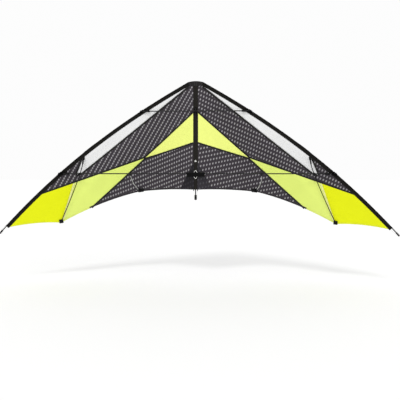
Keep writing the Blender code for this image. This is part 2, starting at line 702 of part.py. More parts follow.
def whisker():
    """The springy rod from the leading edge, past the lower spreader, to the outer sail corner."""
    socket_r, socket_length = WHISKER_SOCKET
    station = le_x(WINDOW_OUTER_Z)
    seam = Vector((sail_edge(station)[0], 0, sail_edge(station)[1]))
    socket_y = -(BAND_HALF + SLEEVE_THICK / 2 + GAP + 0.0008 + socket_r)
    top = Vector((seam.x - WHISKER_SOCKET_INBOARD, socket_y, seam.z + WHISKER_SOCKET_RISE))
    knee = top + WHISKER_KNEE
    way = (knee - top).normalized()
    seat = seat_of(WHISKER_SEAT, WHISKER_FOOT)
    lower = sail_point(*seat) + WHISKER_LAST
    base, foot_way = foot_frame(seat, lower, WHISKER_R)
    start = top + way * (SOCKET_FLOOR + GAP)
    end = base + foot_way * (SOCKET_FLOOR + GAP)
    controls = [top + way * socket_length, knee, lower, end]
    points = rod_points(controls, 14)
    body = cylinder("whisker_socket", top, top + way * socket_length, socket_r, PLASTIC, 12)
    tab_back = -(BAND_HALF + SLEEVE_THICK / 2 + GAP)
    low = (top.x - 0.006, tab_back - 0.0016, top.z - 0.012)
    tab = block("tab", low, (top.x + 0.006, tab_back, top.z + 0.004), PLASTIC)
    boolean(body, [tab], "UNION")
    floor, mouth = top + way * SOCKET_FLOOR, top + way * socket_length * 1.5
    hole_r = WHISKER_R + WHISKER_SLACK
    boolean(body, [cylinder("bore", floor, mouth, hole_r, PLASTIC, 12)], "DIFFERENCE")
    t = float(np.interp(0, [-p.z for p in points], np.linspace(0, 1, len(points))))
    crossing = bezier(controls, t)
    along = (bezier(controls, t + 0.01) - bezier(controls, t - 0.01)).normalized()
    clip_back = crossing.y + WHISKER_R + GAP + CLIP_WALL
    clip = spreader_clip("whisker_clip", crossing.x, clip_back, TUBE_R)
    through = along * CLIP_WIDTH * 2
    hole = cylinder("hole", crossing - through, crossing + through, hole_r, PLASTIC, 12)
    channel = channel_cutters(crossing.x - CLIP_WIDTH, crossing.x + CLIP_WIDTH, 0, TUBE_R)
    boolean(clip, [hole, *channel], "DIFFERENCE")
    return [
        rod("whisker_rod", [start, *points], WHISKER_R, CARBON),
        body,
        clip,
        te_foot("whisker_foot", WHISKER_SEAT, WHISKER_FOOT, base, foot_way, WHISKER_R),
    ]


def end_cap(name, tube_end, way, across, size):
    """A cup over a tube's end, with a slot across its end for a cord. way points out of the tube."""
    radius, length = size
    closed_end = tube_end + way * (GAP + CAP_FLOOR)
    body = cylinder(name, closed_end - way * length, closed_end, radius, PLASTIC)
    bore = tube_bore("bore", tube_end - way * length * 1.5, tube_end + way * GAP, PLASTIC)
    width, depth = CAP_SLOT
    reach = radius * 2
    slot = block("slot", (-reach, -width / 2, -depth), (reach, width / 2, depth), PLASTIC)
    turn = Matrix((across, way.cross(across), way)).transposed().to_4x4()
    slot.data.transform(Matrix.Translation(closed_end) @ turn)
    return boolean(body, [bore, slot], "DIFFERENCE"), closed_end


def tip():
    """The cap on the leading edge tube's outer end and the cord that pulls the sail to it."""
    inner = le_point(STATIONS[-2])
    end = le_point(LE_END_X)
    way = (end - inner).normalized()
    across = Vector((way.z, 0, -way.x))
    cap, cap_end = end_cap("tip_cap", end, way, across, TIP_CAP)
    seam = le_point(SLEEVE_END_X) + way * 0.002
    in_slot = cap_end - way * (CAP_SLOT[1] - CORD_R - GAP)
    clear = TIP_CAP[0] + CORD_R + GAP
    points = [
        seam + across * 0.011,
        seam.lerp(in_slot, 0.5) + across * 0.010,
        in_slot + across * (clear + 0.0012) - way * 0.003,
        in_slot + across * (clear + 0.0004),
        in_slot,
        in_slot - across * (clear + 0.0004),
        in_slot - across * (clear + 0.0004) - way * 0.003,
        seam - across * clear + way * 0.002,
    ]
    return [cap, rod("tip_cord", points, CORD_R, CORD)]


# ---- Centre of the frame ----
def spine():
    """Spine tube, its end cap, its sleeve and the webbing that covers its top."""
    foot = SPINE_FOOT_Z + CAP_FLOOR + GAP
    top = NOSE_Z - SPINE_TOP_DROP
    webbing_foot = NOSE_Z - WEBBING_HEIGHT
    ends = Vector((0, 0, foot)), Vector((0, 0, top))
    tube = straight_tube("spine_tube", *ends, TUBE_R, TUBE_WALL, CARBON)
    cap, _ = end_cap("spine_end_cap", ends[0], DOWN, ACROSS, SPINE_CAP)
    half = SPINE_SLEEVE_HALF - SLEEVE_THICK / 2
    crown = TUBE_R + SLEEVE_SLACK + SLEEVE_THICK
    edge = [(half, 0), (half * 0.66, -0.0008), (TUBE_R * 1.2, -crown * 0.78), (0, -crown)]
    front = edge + [(-x, y) for x, y in edge[2::-1]]
    lens = front + [(x, -y) for x, y in front[-2:0:-1]]
    levels = (TRAILING_Z, 0.2, webbing_foot - GAP)
    sections = [[Vector((x, y, z)) for x, y in lens] for z in levels]
    sleeve = lofted("spine_sleeve", sections, True, SLEEVE_THICK, SLEEVE_CLOTH)
    below, above = UPPER_OPENING
    wide = SPINE_OPENING_HALF_WIDTH
    openings = [
        (UPPER_SPREADER_Z - below, UPPER_SPREADER_Z + above),
        (T_COLLAR_BOTTOM - 0.002, T_COLLAR_TOP + 0.002),
    ]
    cuts = [block("cut", (-wide, -0.02, a), (wide, 0.02, b), SLEEVE_CLOTH) for a, b in openings]
    boolean(sleeve, cuts, "DIFFERENCE")
    low, high = Vector((0, 0, webbing_foot)), Vector((0, 0, NOSE_Z))
    webbing = cylinder("nose_webbing", low, high, SPINE_SLEEVE_HALF, SLEEVE_CLOTH, 20)
    webbing.data.transform(Matrix.Diagonal((*WEBBING_SQUEEZE, 1, 1)))
    pocket = tube_bore("pocket", low + DOWN * 0.01, ends[1] - DOWN * GAP, SLEEVE_CLOTH)
    boolean(webbing, [pocket], "DIFFERENCE")
    return [tube, cap, sleeve, webbing]


def spine_collar(name, bottom, top):
    return cylinder(name, Vector((0, 0, bottom)), Vector((0, 0, top)), COLLAR_R, RUBBER)


def spine_bore():
    return tube_bore("spine_bore", Vector((0, 0, SPINE_FOOT_Z)), Vector((0, 0, NOSE_Z)), RUBBER)


def centre_t():
    """The moulded T on the spine, with a blind socket each side."""
    body = block("centre_t", (-T_HALF, T_FRONT_Y, T_BOTTOM), (T_HALF, T_BACK_Y, T_TOP), RUBBER, 0.0025)
    boolean(body, [spine_collar("collar", T_COLLAR_BOTTOM, T_COLLAR_TOP)], "UNION")
    socket_floor = T_HALF - T_SOCKET_DEPTH
    axis = Vector((0, SPREADER_Y, 0))
    cuts = [spine_bore()]
    for side in (1, -1):
        start, end = axis + ACROSS * side * socket_floor, axis + ACROSS * side * (T_HALF + 0.01)
        cuts.append(tube_bore("socket", start, end, RUBBER))
    return boolean(body, cuts, "DIFFERENCE")


def upper_clip():
    """The clip on the spine that the upper spreader snaps into from the front."""
    reach = UPPER_SPREADER_R + GAP + CLIP_WALL
    z = UPPER_SPREADER_Z
    half_width, half_height = CLIP_HALF
    body = spine_collar("upper_spreader_clip", z - half_height, z + half_height)
    low = (-half_width, SPREADER_Y - UPPER_SPREADER_R - CLIP_LIP, z - reach)
    jaw = block("jaw", low, (half_width, CLIP_BACK_Y, z + reach), RUBBER, 0.0008)
    boolean(body, [jaw], "UNION")
    cuts = [spine_bore(), *channel_cutters(-0.02, 0.02, z, UPPER_SPREADER_R)]
    return boolean(body, cuts, "DIFFERENCE")


def centre_cords():
    """The knot on the spine sleeve, the loop tied over the T, and the cord that tensions the spine."""
    bm = bmesh.new()
    bmesh.ops.create_uvsphere(bm, u_segments=10, v_segments=6, radius=KNOT_R)
    knot_y = -(TUBE_R + SLEEVE_SLACK + 1.5 * SLEEVE_THICK + GAP + KNOT_R)
    bmesh.ops.translate(bm, vec=(0, knot_y, KNOT_Z), verts=bm.verts)
    knot = from_bmesh("spine_knot", bm, CORD)
    x, front = 0.0045, T_FRONT_Y - CORD_R * 2
    near_sleeve = -COLLAR_R - 2 * CORD_R - GAP
    top, bottom = T_TOP + 0.0035, T_BOTTOM - 0.0035
    route = [(near_sleeve, T_TOP + LOOP_RISE), (front + 0.004, top + 0.002), (front, top - 0.006)]
    route += [(front, bottom + 0.006), (front + 0.004, bottom - 0.002)]
    route += [(near_sleeve, T_BOTTOM - LOOP_RISE)]
    loop = rod("centre_loop", [Vector((x, y, z)) for y, z in route], 1.4 * CORD_R, CORD)
    foot, under = TRAILING_Z - CORD_R - GAP, SPINE_FOOT_Z + CAP_SLOT[1] - CORD_R - GAP
    beside = SPINE_CAP[0] + CORD_R + GAP
    leg = [(SPINE_SLEEVE_HALF * 0.76, foot), (beside + 0.001, under + 0.012), (beside + 0.0004, under)]
    half = [Vector((x, 0, z)) for x, z in leg]
    other = [Vector((-p.x, 0, p.z)) for p in reversed(half)]
    tension = rod("spine_tension_cord", [*half, Vector((0, 0, under)), *other], CORD_R, CORD)
    return [knot, loop, tension]


# ---- Spreaders ----
def spreaders():
    """Upper spreader, and the right lower spreader, which is mirrored for the left."""
    z = UPPER_SPREADER_Z
    upper_end = UPPER_FIT_X + ARM_OVERSHOOT - END_WALL - 0.0008
    a, b = Vector((-upper_end, SPREADER_Y, z)), Vector((upper_end, SPREADER_Y, z))
    upper = straight_tube("upper_spreader", a, b, UPPER_SPREADER_R, TUBE_WALL, CARBON)
    lower_end = LOWER_FIT_X + ARM_OVERSHOOT - END_WALL - SPREADER_TRAVEL - 0.0008
    lower_start = T_HALF - T_SOCKET_DEPTH + GAP
    a, b = Vector((lower_start, SPREADER_Y, 0)), Vector((lower_end, SPREADER_Y, 0))
    return upper, straight_tube("lower_spreader", a, b, TUBE_R, TUBE_WALL, CARBON)


# ---- Assembly ----
def parent_empty(name, place):
    empty = bpy.data.objects.new(name, None)
    empty.location = place
    kite.objects.link(empty)
    return empty


def place_under(obj, empty):
    """Parents an object to an empty without moving it."""
    obj.parent = empty
    obj.matrix_parent_inverse = Matrix.Translation(-empty.location)


def shade(obj):
    if obj.type == "MESH":
        obj.data.shade_smooth()
        obj.data.set_sharp_from_angle(angle=math.radians(40))


def mirrored(obj, name):
    """The same piece on the other side of the spine, as its own mesh."""
    mesh = evaluated_mesh(obj)
    mesh.transform(Matrix.Diagonal((-1, 1, 1, 1)))
    mesh.flip_normals()
    return add_object(name, mesh, obj.data.materials[0])


def build():
    centre = spine() + [centre_t(), upper_clip()] + centre_cords()
    upper, lower = spreaders()
    wing = leading_edge() + panels() + [spine_patch()] + standoff() + whisker() + tip()
    bodies = {"centre_frame": (Vector((0, 0, 0)), centre)}
    bodies["upper_spreader_slide"] = (Vector((0, SPREADER_Y, UPPER_SPREADER_Z)), [upper])
    for side, sign in (("left", -1), ("right", 1)):
        pieces = []
        for piece in [*wing, lower]:
            own_name = piece.name
            if side == "left":
                pieces.append(mirrored(piece, "left_" + own_name))
            else:
                piece.name = "right_" + own_name
                pieces.append(piece)
        end_of_t = Vector((sign * T_HALF, SPREADER_Y, 0))
        bodies[side + "_wing_hinge"] = (Vector((0, 0, 0)), pieces[:-1])
        bodies[side + "_lower_spreader_slide"] = (end_of_t, pieces[-1:])
    for name, (place, pieces) in bodies.items():
        empty = parent_empty(name, place)
        for piece in pieces:
            shade(piece)
            place_under(piece, empty)


build()
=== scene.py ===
"""The looks of the delta kite: cloth, stitching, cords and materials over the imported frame.

Same frame as the CAD: metres, +X along the right wing, +Z up the spine, the sail's belly
towards +Y.
"""

import math

import bmesh
import bpy
import numpy as np
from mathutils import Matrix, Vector


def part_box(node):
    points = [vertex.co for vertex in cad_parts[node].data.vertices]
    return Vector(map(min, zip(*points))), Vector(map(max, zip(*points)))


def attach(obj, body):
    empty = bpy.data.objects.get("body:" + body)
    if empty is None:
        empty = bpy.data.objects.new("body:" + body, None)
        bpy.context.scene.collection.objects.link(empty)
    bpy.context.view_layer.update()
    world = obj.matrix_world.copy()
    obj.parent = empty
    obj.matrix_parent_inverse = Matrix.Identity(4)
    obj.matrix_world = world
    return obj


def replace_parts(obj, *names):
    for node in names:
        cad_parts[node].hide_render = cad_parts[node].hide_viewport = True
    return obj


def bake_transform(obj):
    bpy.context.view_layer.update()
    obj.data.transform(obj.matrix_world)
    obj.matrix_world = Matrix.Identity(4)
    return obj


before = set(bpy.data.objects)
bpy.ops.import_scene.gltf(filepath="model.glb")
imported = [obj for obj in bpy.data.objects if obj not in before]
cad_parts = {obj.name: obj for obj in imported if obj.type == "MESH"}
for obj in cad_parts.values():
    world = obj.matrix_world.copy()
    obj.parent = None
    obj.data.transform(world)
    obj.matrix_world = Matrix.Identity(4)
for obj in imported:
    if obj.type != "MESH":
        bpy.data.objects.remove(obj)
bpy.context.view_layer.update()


def box_low(node):
    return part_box(node)[0]


def box_high(node):
    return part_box(node)[1]


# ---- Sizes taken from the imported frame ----
TIP_REACH = 1.100  # half the span, as the frame's leading edge curve is drawn
NOSE_Z = box_high("nose_webbing")[2]
WEBBING_FOOT_Z = box_low("nose_webbing")[2]
SPINE_FOOT_Z = box_low("spine_end_cap")[2]
TRAILING_Z = box_low("spine_sleeve")[2]
UPPER_SPREADER_Z = (box_low("upper_spreader")[2] + box_high("upper_spreader")[2]) / 2
TUBE_R = (box_high("spine_tube")[0] - box_low("spine_tube")[0]) / 2
T_TOP, T_BOTTOM = 0.0070, -0.0160  # heights of the centre T's edges

# ---- The leading edge and sail, drawn by the same rules as the frame ----
TIP_Z = -0.330
LE_START = (0.036, NOSE_Z - 0.0075)
NOSE_FLATTER, TIP_STEEPER = math.radians(8.7), math.radians(9.7)
SLEEVE_DEPTH = 0.0172
SLEEVE_START_X = 0.040
SLEEVE_CUT = 0.031  # length of the opening at each leading edge fitting
SEAM_GAP = 0.0003  # from the sleeve's edge to the seam line
SPINE_HALF = 0.0135
SAIL_X = 0.0143  # the sail's inner edge, in the frame
STANDOFF_SEAT, WHISKER_SEAT = (0.340, -0.106), (0.776, -0.281)
TIP_CORNER_X, SLEEVE_END_X = TIP_REACH - 0.048, TIP_REACH - 0.042
TRAILING_BOW, TRAILING_BILLOW = (0.006, 0.018, 0.009), (0.010, 0.010, 0.006)
CORNER_DEPTHS = (0.0, 0.175, 0.092, 0.0)
BILLOW_POWER = 1.25
CROSSING = (0.296, 0.089)  # where four panels meet
CENTRE_TOP, CENTRE_FOOT = 0.335, 0.175
OUTER_SEAM_SHARE, TIP_SEAM_SHARE, TIP_SEAM_Z = 0.64, 0.705, -0.100
WINDOW_TOP_X, WINDOW_OUTER_Z = 0.047, 0.100
WINDOW_OUTER_RUN, WINDOW_FOOT_RUN = (0.043, -0.094), (0.017, -0.084)
PATCH_TOP, PATCH_WIDTH = 0.060, 0.088
FERRULE_Z, FERRULE_LENGTH = 0.139, 0.064
FERRULE_FADE = 0.012

# ---- Samples of the curves above ----
LE_SAMPLES, EDGE_SAMPLES, TRAILING_SAMPLES, SHARE_SAMPLES = 2000, 400, 80, 401
EDGE_FROM_X = 0.015
NEAR_NOSE = 20  # edge samples too near the nose for a steady angle
DEPTH_SMOOTHING = 22  # share samples to each side

# ---- Cloth and thread ----
GRID, PATCH_GRID = 0.008, 0.006  # spacing of the cloth's mesh
CLOTH_THICK, TAPE_THICK, SLEEVE_THICK = 0.00025, 0.0002, 0.0004
WEBBING_THICK, TAB_THICK = 0.0012, 0.0005
TAPE_LIFT, PATCH_LIFT = 0.00045, 0.0014
TAPE_OVER = 0.0008  # of a seam's allowance, past its line
TAPE_WIDTH, HEM_WIDTH = 0.009, 0.009
CORD_R, KNOT_CORD_R, LOOP_CORD_R = 0.0009, 0.0013, 0.0014
FAN_HEIGHT, PULL_HEIGHT = 0.0009, 0.0008  # of the slack folds and the pulls at the sail's corners
PULL_RADIUS, PULL_SPREAD = 0.06, 0.035
SLEEVE_HELD = 0.003  # of sail between the sleeve's layers
BACK = Vector((0, 1, 0))

LE_END_X = TIP_REACH - 0.008
LE_RUN = LE_END_X - LE_START[0]
CHORD = math.atan2(LE_START[1] - TIP_Z, LE_RUN)


def side_of(sign):
    return "right" if sign > 0 else "left"


def le_z(x):
    """Height of the leading edge at x, a cubic from the nose to the tip. x may be an array."""
    t = (x - LE_START[0]) / LE_RUN
    rise0 = -math.tan(CHORD - NOSE_FLATTER) * LE_RUN
    rise1 = -math.tan(CHORD + TIP_STEEPER) * LE_RUN
    start = (2 * t**3 - 3 * t**2 + 1) * LE_START[1] + (t**3 - 2 * t**2 + t) * rise0
    return start + (3 * t**2 - 2 * t**3) * TIP_Z + (t**3 - t**2) * rise1


def le_x(z):
    xs = np.linspace(LE_START[0], LE_END_X, LE_SAMPLES)
    return float(np.interp(-z, -le_z(xs), xs))


def le_point(x):
    return Vector((x, 0, float(le_z(x))))


def le_tangent(x):
    return (le_point(x + 1e-4) - le_point(x - 1e-4)).normalized()


def le_inward(x):
    """Square to the leading edge, towards the sail."""
    t = le_tangent(x)
    return Vector((t.z, 0, -t.x))


def seam_at(station, out=0.0):
    """Plan point on the leading edge seam, or this far outside it."""
    p = le_point(station) + le_inward(station) * (SLEEVE_DEPTH + SEAM_GAP - out)
    return p.x, p.z


def le_span(centre_x, length):
    """Where a length of leading edge starts and ends."""
    half = length / 2 * le_tangent(centre_x).x
    return centre_x - half, centre_x + half


UPPER_CUT = le_span(le_x(UPPER_SPREADER_Z), SLEEVE_CUT)
LOWER_CUT = le_span(le_x(0.0), SLEEVE_CUT)
FERRULE_ENDS = le_span(le_x(FERRULE_Z), FERRULE_LENGTH)

EDGE = [seam_at(x) for x in np.linspace(EDGE_FROM_X, LE_END_X, EDGE_SAMPLES)]
EDGE_X, EDGE_Z = np.array(EDGE).T
APEX_Z = float(np.interp(SAIL_X, EDGE_X, EDGE_Z))
TRAILING_CORNERS = [(SAIL_X, TRAILING_Z), STANDOFF_SEAT, WHISKER_SEAT, seam_at(TIP_CORNER_X)]


def trailing_point(stretch, t):
    """Plan point on one of the three stretches of trailing edge, t from 0 to 1."""
    (xa, za), (xb, zb) = TRAILING_CORNERS[stretch], TRAILING_CORNERS[stretch + 1]
    return xa + (xb - xa) * t, za + (zb - za) * t + 4 * TRAILING_BOW[stretch] * t * (1 - t)


def trailing_depth(stretch, t):
    a, b = CORNER_DEPTHS[stretch], CORNER_DEPTHS[stretch + 1]
    return a + (b - a) * t + 4 * TRAILING_BILLOW[stretch] * t * (1 - t)


def polar(x, z):
    """Distance and angle from the sail's top, the angle from straight down."""
    return np.hypot(x - SAIL_X, APEX_Z - z), np.arctan2(x - SAIL_X, APEX_Z - z)


EDGE_R, EDGE_ANGLE = polar(EDGE_X, EDGE_Z)


def share_across(x, z):
    """0 at the spine, 1 at the leading edge."""
    r, angle = polar(x, z)
    return angle / np.interp(r, EDGE_R[NEAR_NOSE:], EDGE_ANGLE[NEAR_NOSE:])


def smoothed(values, width):
    """A running average that keeps both end values."""
    before = 2 * values[0] - values[width:0:-1]
    after = 2 * values[-1] - values[-2 : -width - 2 : -1]
    window = np.hanning(2 * width + 1)
    return np.convolve(np.r_[before, values, after], window / window.sum(), "valid")


def trailing_table():
    """How far the trailing edge is from the nose, and how deep, at even shares across the wing."""
    ts = np.linspace(0, 1, TRAILING_SAMPLES)
    x, z = np.array([trailing_point(s, t) for s in range(3) for t in ts]).T
    depths = [trailing_depth(s, t) for s in range(3) for t in ts]
    share, reach = share_across(x, z), polar(x, z)[0]
    even = np.linspace(0, 1, SHARE_SAMPLES)
    depth = smoothed(np.interp(even, share, depths), DEPTH_SMOOTHING)
    return even, np.interp(even, share, reach), depth


SHARES, REACHES, DEPTHS = trailing_table()


def smooth_step(x, low, high):
    t = min(max((x - low) / (high - low), 0.0), 1.0)
    return t * t * (3 - 2 * t)


def wrinkles(share, run, x, z, sign):
    """Slack folds that fan from the nose, and short pulls round the two sail corners."""
    phase = 0.7 if sign > 0 else 2.1
    fan = math.sin(31 * share + 5 * run + phase)
    fan += 0.6 * math.sin(53 * share - 7 * run + 2 * phase)
    fan += 0.4 * math.sin(83 * share + 9 * run)
    held = smooth_step(share, 0.01, 0.10) * smooth_step(1 - share, 0.0, 0.08)
    height = FAN_HEIGHT * fan * run**1.5 * held
    for cx, cz in (STANDOFF_SEAT, WHISKER_SEAT):
        near = math.hypot(x - cx, z - cz)
        turn = math.atan2(z - cz, x - cx)
        pull = math.sin(14 * turn + phase) * math.exp(-(((near - PULL_RADIUS) / PULL_SPREAD) ** 2))
        height *= smooth_step(near, 0.02, 0.05)
        height += PULL_HEIGHT * pull * smooth_step(near, 0.03, 0.05)
    return height


def surface(x, z, sign):
    """The sail over a plan point of the right wing, placed on the wing of that sign."""
    share = min(max(float(share_across(x, z)), 0.0), 1.0)
    run = polar(x, z)[0] / np.interp(share, SHARES, REACHES)
    depth = float(np.interp(share, SHARES, DEPTHS) * run**BILLOW_POWER)
    return Vector((sign * x, depth + wrinkles(share, min(run, 1.0), x, z, sign), z))


def surface_normal(x, z, sign):
    e = 0.002
    across = surface(x + e, z, sign) - surface(x - e, z, sign)
    up = surface(x, z + e, sign) - surface(x, z - e, sign)
    n = across.cross(up).normalized()
    return n if n.y < 0 else -n


def lifted(x, z, sign, lift):
    """A point off the sail, in front of it where lift is above 0."""
    return surface(x, z, sign) + surface_normal(x, z, sign) * lift


# ---- Materials ----
class Graph:
    """A node material round one Principled shader."""

    def __init__(self, name, colour, roughness, **constants):
        self.material = bpy.data.materials.new(name)
        self.material.use_nodes = True
        self.tree = self.material.node_tree
        self.shader = self.tree.nodes["Principled BSDF"]
        self.material.diffuse_color = (*colour, 1)
        self.set(self.shader, "Base Color", (*colour, 1))
        self.set(self.shader, "Roughness", roughness)
        for socket, value in constants.items():
            self.set(self.shader, socket.replace("_", " "), value)

    def set(self, node, socket, value):
        if isinstance(value, bpy.types.NodeSocket):
            self.tree.links.new(value, node.inputs[socket])
        else:
            node.inputs[socket].default_value = value

    def node(self, kind, sockets, **settings):
        made = self.tree.nodes.new("ShaderNode" + kind)
        for setting, value in settings.items():
            setattr(made, setting, value)
        for socket, value in sockets.items():
            self.set(made, socket, value)
        return made

    def math(self, operation, a, b=0.0):
        return self.node("Math", {0: a, 1: b}, operation=operation).outputs[0]

    def total(self, *parts):
        whole = parts[0]
        for part in parts[1:]:
            whole = self.math("ADD", whole, part)
        return whole

    def combine(self, a, share_a, b, share_b):
        a, b = self.math("MULTIPLY", a, share_a), self.math("MULTIPLY", b, share_b)
        return self.math("ADD", a, b)

    def fade(self, value, full, none):
        """1 where value is at or under full, 0 from none on."""
        sockets = {"Value": value, "From Min": full, "From Max": none}
        sockets |= {"To Min": 1.0, "To Max": 0.0}
        return self.node("MapRange", sockets, interpolation_type="SMOOTHSTEP").outputs[0]

    def lines(self, along, pitch, half_width):
        """1 on thin lines a pitch apart."""
        near = self.math("PINGPONG", along, pitch / 2)
        return self.fade(near, half_width * 0.6, half_width * 1.4)

    def noise(self, vector, scale, detail=3.0):
        sockets = {"Vector": vector, "Scale": scale, "Detail": detail}
        return self.node("TexNoise", sockets).outputs[0]

    def uv(self, layer):
        made = self.node("UVMap", {}, uv_map=layer)
        parts = self.node("SeparateXYZ", {0: made.outputs[0]})
        return made.outputs[0], parts.outputs[0], parts.outputs[1]

    def place(self):
        return self.node("TexCoord", {}).outputs["Object"]

    def scaled(self, vector, x, y, z):
        return self.node("Mapping", {"Vector": vector, "Scale": (x, y, z)}).outputs[0]

    def mix(self, share, a, b):
        made = self.node("Mix", {0: share}, data_type="RGBA")
        self.set(made, 6, (*a, 1) if isinstance(a, tuple) else a)
        self.set(made, 7, (*b, 1) if isinstance(b, tuple) else b)
        return made.outputs[2]

    def colour(self, value):
        self.set(self.shader, "Base Color", value)

    def rough(self, value, low, high):
        sockets = {"Value": value, "To Min": low, "To Max": high}
        self.set(self.shader, "Roughness", self.node("MapRange", sockets).outputs[0])

    def bump(self, height, distance):
        made = self.node("Bump", {"Height": height, "Distance": distance, "Strength": 1.0})
        self.set(self.shader, "Normal", made.outputs[0])


def shade_of(colour, gain):
    return tuple(min(1.0, c * gain) for c in colour)


RIPSTOP_PITCH, RIPSTOP_THREAD, RIPSTOP_ROUGH = 0.005, 0.00022, 0.5


def ripstop(name, colour, line_gain, specular=0.15, dots=None, dot_colour=None):
    """Thin ripstop: a plain weave with heavier threads, and a printed dot lattice on some."""
    g = Graph(name, colour, RIPSTOP_ROUGH, Specular_IOR_Level=specular)
    vector, u, v = g.uv("cloth")
    heavy = [g.lines(axis, RIPSTOP_PITCH, RIPSTOP_THREAD) for axis in (u, v)]
    heavy = g.math("MAXIMUM", *heavy)
    weave = g.math("MAXIMUM", g.lines(u, 0.0005, 0.00013), g.lines(v, 0.00042, 0.00011))
    cloud = g.noise(vector, 9.0, 4.0)
    crinkle = g.noise(vector, 65.0, 5.0)
    base = g.mix(cloud, shade_of(colour, 0.95), shade_of(colour, 1.04))
    if dots:
        base = g.mix(g.math("MULTIPLY", dot_mask(g, *dots), 0.96), base, dot_colour)
    base = g.mix(g.math("MULTIPLY", heavy, 0.35), base, shade_of(colour, line_gain))
    g.colour(g.mix(g.math("MULTIPLY", weave, 0.06), base, shade_of(colour, 0.55)))
    g.rough(crinkle, RIPSTOP_ROUGH - 0.09, RIPSTOP_ROUGH + 0.11)
    height = g.total(g.math("MULTIPLY", heavy, 0.10), g.math("MULTIPLY", weave, 0.04), crinkle)
    g.bump(height, 0.0007)
    return g.material


def cos_sin(degrees):
    return math.cos(math.radians(degrees)), math.sin(math.radians(degrees))


def dot_mask(g, pitch, row_angle, row_gap, stagger, size, lean):
    """Slanted ovals in rows. Row angle and lean are in degrees, the lean from upright."""
    _, x, z = g.uv("plan")
    c, s = cos_sin(row_angle)
    along, across = g.combine(x, c, z, s), g.combine(x, -s, z, c)
    row = g.math("FLOOR", g.math("DIVIDE", across, row_gap))
    middle = g.math("MULTIPLY", g.math("ADD", row, 0.5), row_gap)
    across = g.math("SUBTRACT", across, middle)
    along = g.math("ADD", along, g.math("MULTIPLY", row, stagger))
    along = g.math("SUBTRACT", g.math("FLOORED_MODULO", along, pitch), pitch / 2)
    c, s = cos_sin(row_angle + lean)
    wide = g.math("DIVIDE", g.combine(along, c, across, -s), size[0] / 2)
    tall = g.math("DIVIDE", g.combine(along, s, across, c), size[1] / 2)
    wide, tall = g.math("MULTIPLY", wide, wide), g.math("MULTIPLY", tall, tall)
    return g.fade(g.total(wide, tall), 0.55, 1.25)


STITCH_PITCH = 0.003


def stitched(name, colour, thread, rows, roughness=0.6, specular=0.2, ribs=0.0):
    """A tape, hem or sleeve, with stitches along each row. A row is its v, in metres."""
    g = Graph(name, colour, roughness, Specular_IOR_Level=specular)
    vector, u, v = g.uv("cloth")
    dash = g.fade(g.math("PINGPONG", u, STITCH_PITCH / 2), 0.00095, 0.00125)
    near = g.math("ABSOLUTE", g.math("SUBTRACT", v, rows[0]))
    for row in rows[1:]:
        near = g.math("MINIMUM", near, g.math("ABSOLUTE", g.math("SUBTRACT", v, row)))
    stitch = g.math("MULTIPLY", g.fade(near, 0.00025, 0.0004), dash)
    puckers = g.noise(g.scaled(vector, 1, 0.3, 1), 260.0, 2.0)
    pucker = g.math("MULTIPLY", g.fade(near, 0.0004, 0.003), puckers)
    weave = g.math("MAXIMUM", g.lines(u, 0.0006, 0.00016), g.lines(v, 0.0005, 0.00013))
    if ribs:
        weave = g.math("MAXIMUM", weave, g.lines(u, ribs, ribs * 0.3))
    cloud = g.noise(vector, 24.0, 5.0)
    worn = g.mix(cloud, shade_of(colour, 0.82), shade_of(colour, 1.25))
    base = g.mix(g.math("MULTIPLY", weave, 0.15), worn, shade_of(colour, 0.5))
    g.colour(g.mix(stitch, base, thread))
    g.rough(cloud, roughness - 0.08, roughness + 0.1)
    height = g.total(g.math("MULTIPLY", weave, 0.12), g.math("MULTIPLY", stitch, 0.5), pucker)
    g.bump(g.total(height, g.math("MULTIPLY", cloud, 0.4)), 0.0005)
    return g.material


def carbon(name, along):
    """Wrapped carbon tube: fibres along one axis, a faint wrap, a slightly scuffed coat."""
    g = Graph(name, (0.02, 0.02, 0.022), 0.25, Specular_IOR_Level=0.15)
    place = g.place()
    stretch = [1400.0, 1400.0, 1400.0]
    stretch[along] = 30.0
    fibre = g.noise(g.scaled(place, *stretch), 1.0, 2.0)
    parts = g.node("SeparateXYZ", {0: place}).outputs
    slant = g.total(parts[along], g.math("MULTIPLY", parts[(along + 1) % 3], 0.8))
    wrap = g.lines(slant, 0.006, 0.0006)
    scuff = g.noise(place, 180.0, 5.0)
    worn = g.math("MULTIPLY", g.fade(scuff, 0.30, 0.42), 0.5)
    base = g.mix(fibre, (0.006, 0.006, 0.006), (0.018, 0.017, 0.018))
    base = g.mix(g.math("MULTIPLY", wrap, 0.4), base, (0.022, 0.022, 0.023))
    g.colour(g.mix(worn, base, (0.030, 0.030, 0.030)))
    g.rough(scuff, 0.20, 0.36)
    g.bump(g.total(g.math("MULTIPLY", fibre, 0.5), g.math("MULTIPLY", wrap, 0.4)), 0.00004)
    return g.material


def moulded(name, colour, roughness, edge, specular, grain=1400.0):
    """Moulded rubber or nylon: fine spark grain, paler rubbed edges, uneven colour."""
    g = Graph(name, colour, roughness, Specular_IOR_Level=specular)
    place = g.place()
    spark = g.noise(place, grain, 3.0)
    patch = g.noise(place, 120.0, 5.0)
    edges = g.node("NewGeometry", {}).outputs["Pointiness"]
    rubbed = g.math("SUBTRACT", 1.0, g.fade(edges, 0.50, 0.60))
    rubbed = g.math("MULTIPLY", rubbed, g.math("ADD", g.math("MULTIPLY", patch, 0.7), 0.15))
    base = g.mix(patch, shade_of(colour, 0.75), shade_of(colour, 1.5))
    g.colour(g.mix(rubbed, base, edge))
    g.rough(patch, roughness - 0.1, roughness + 0.12)
    g.bump(g.total(spark, g.math("MULTIPLY", patch, 0.6)), 0.00007)
    return g.material


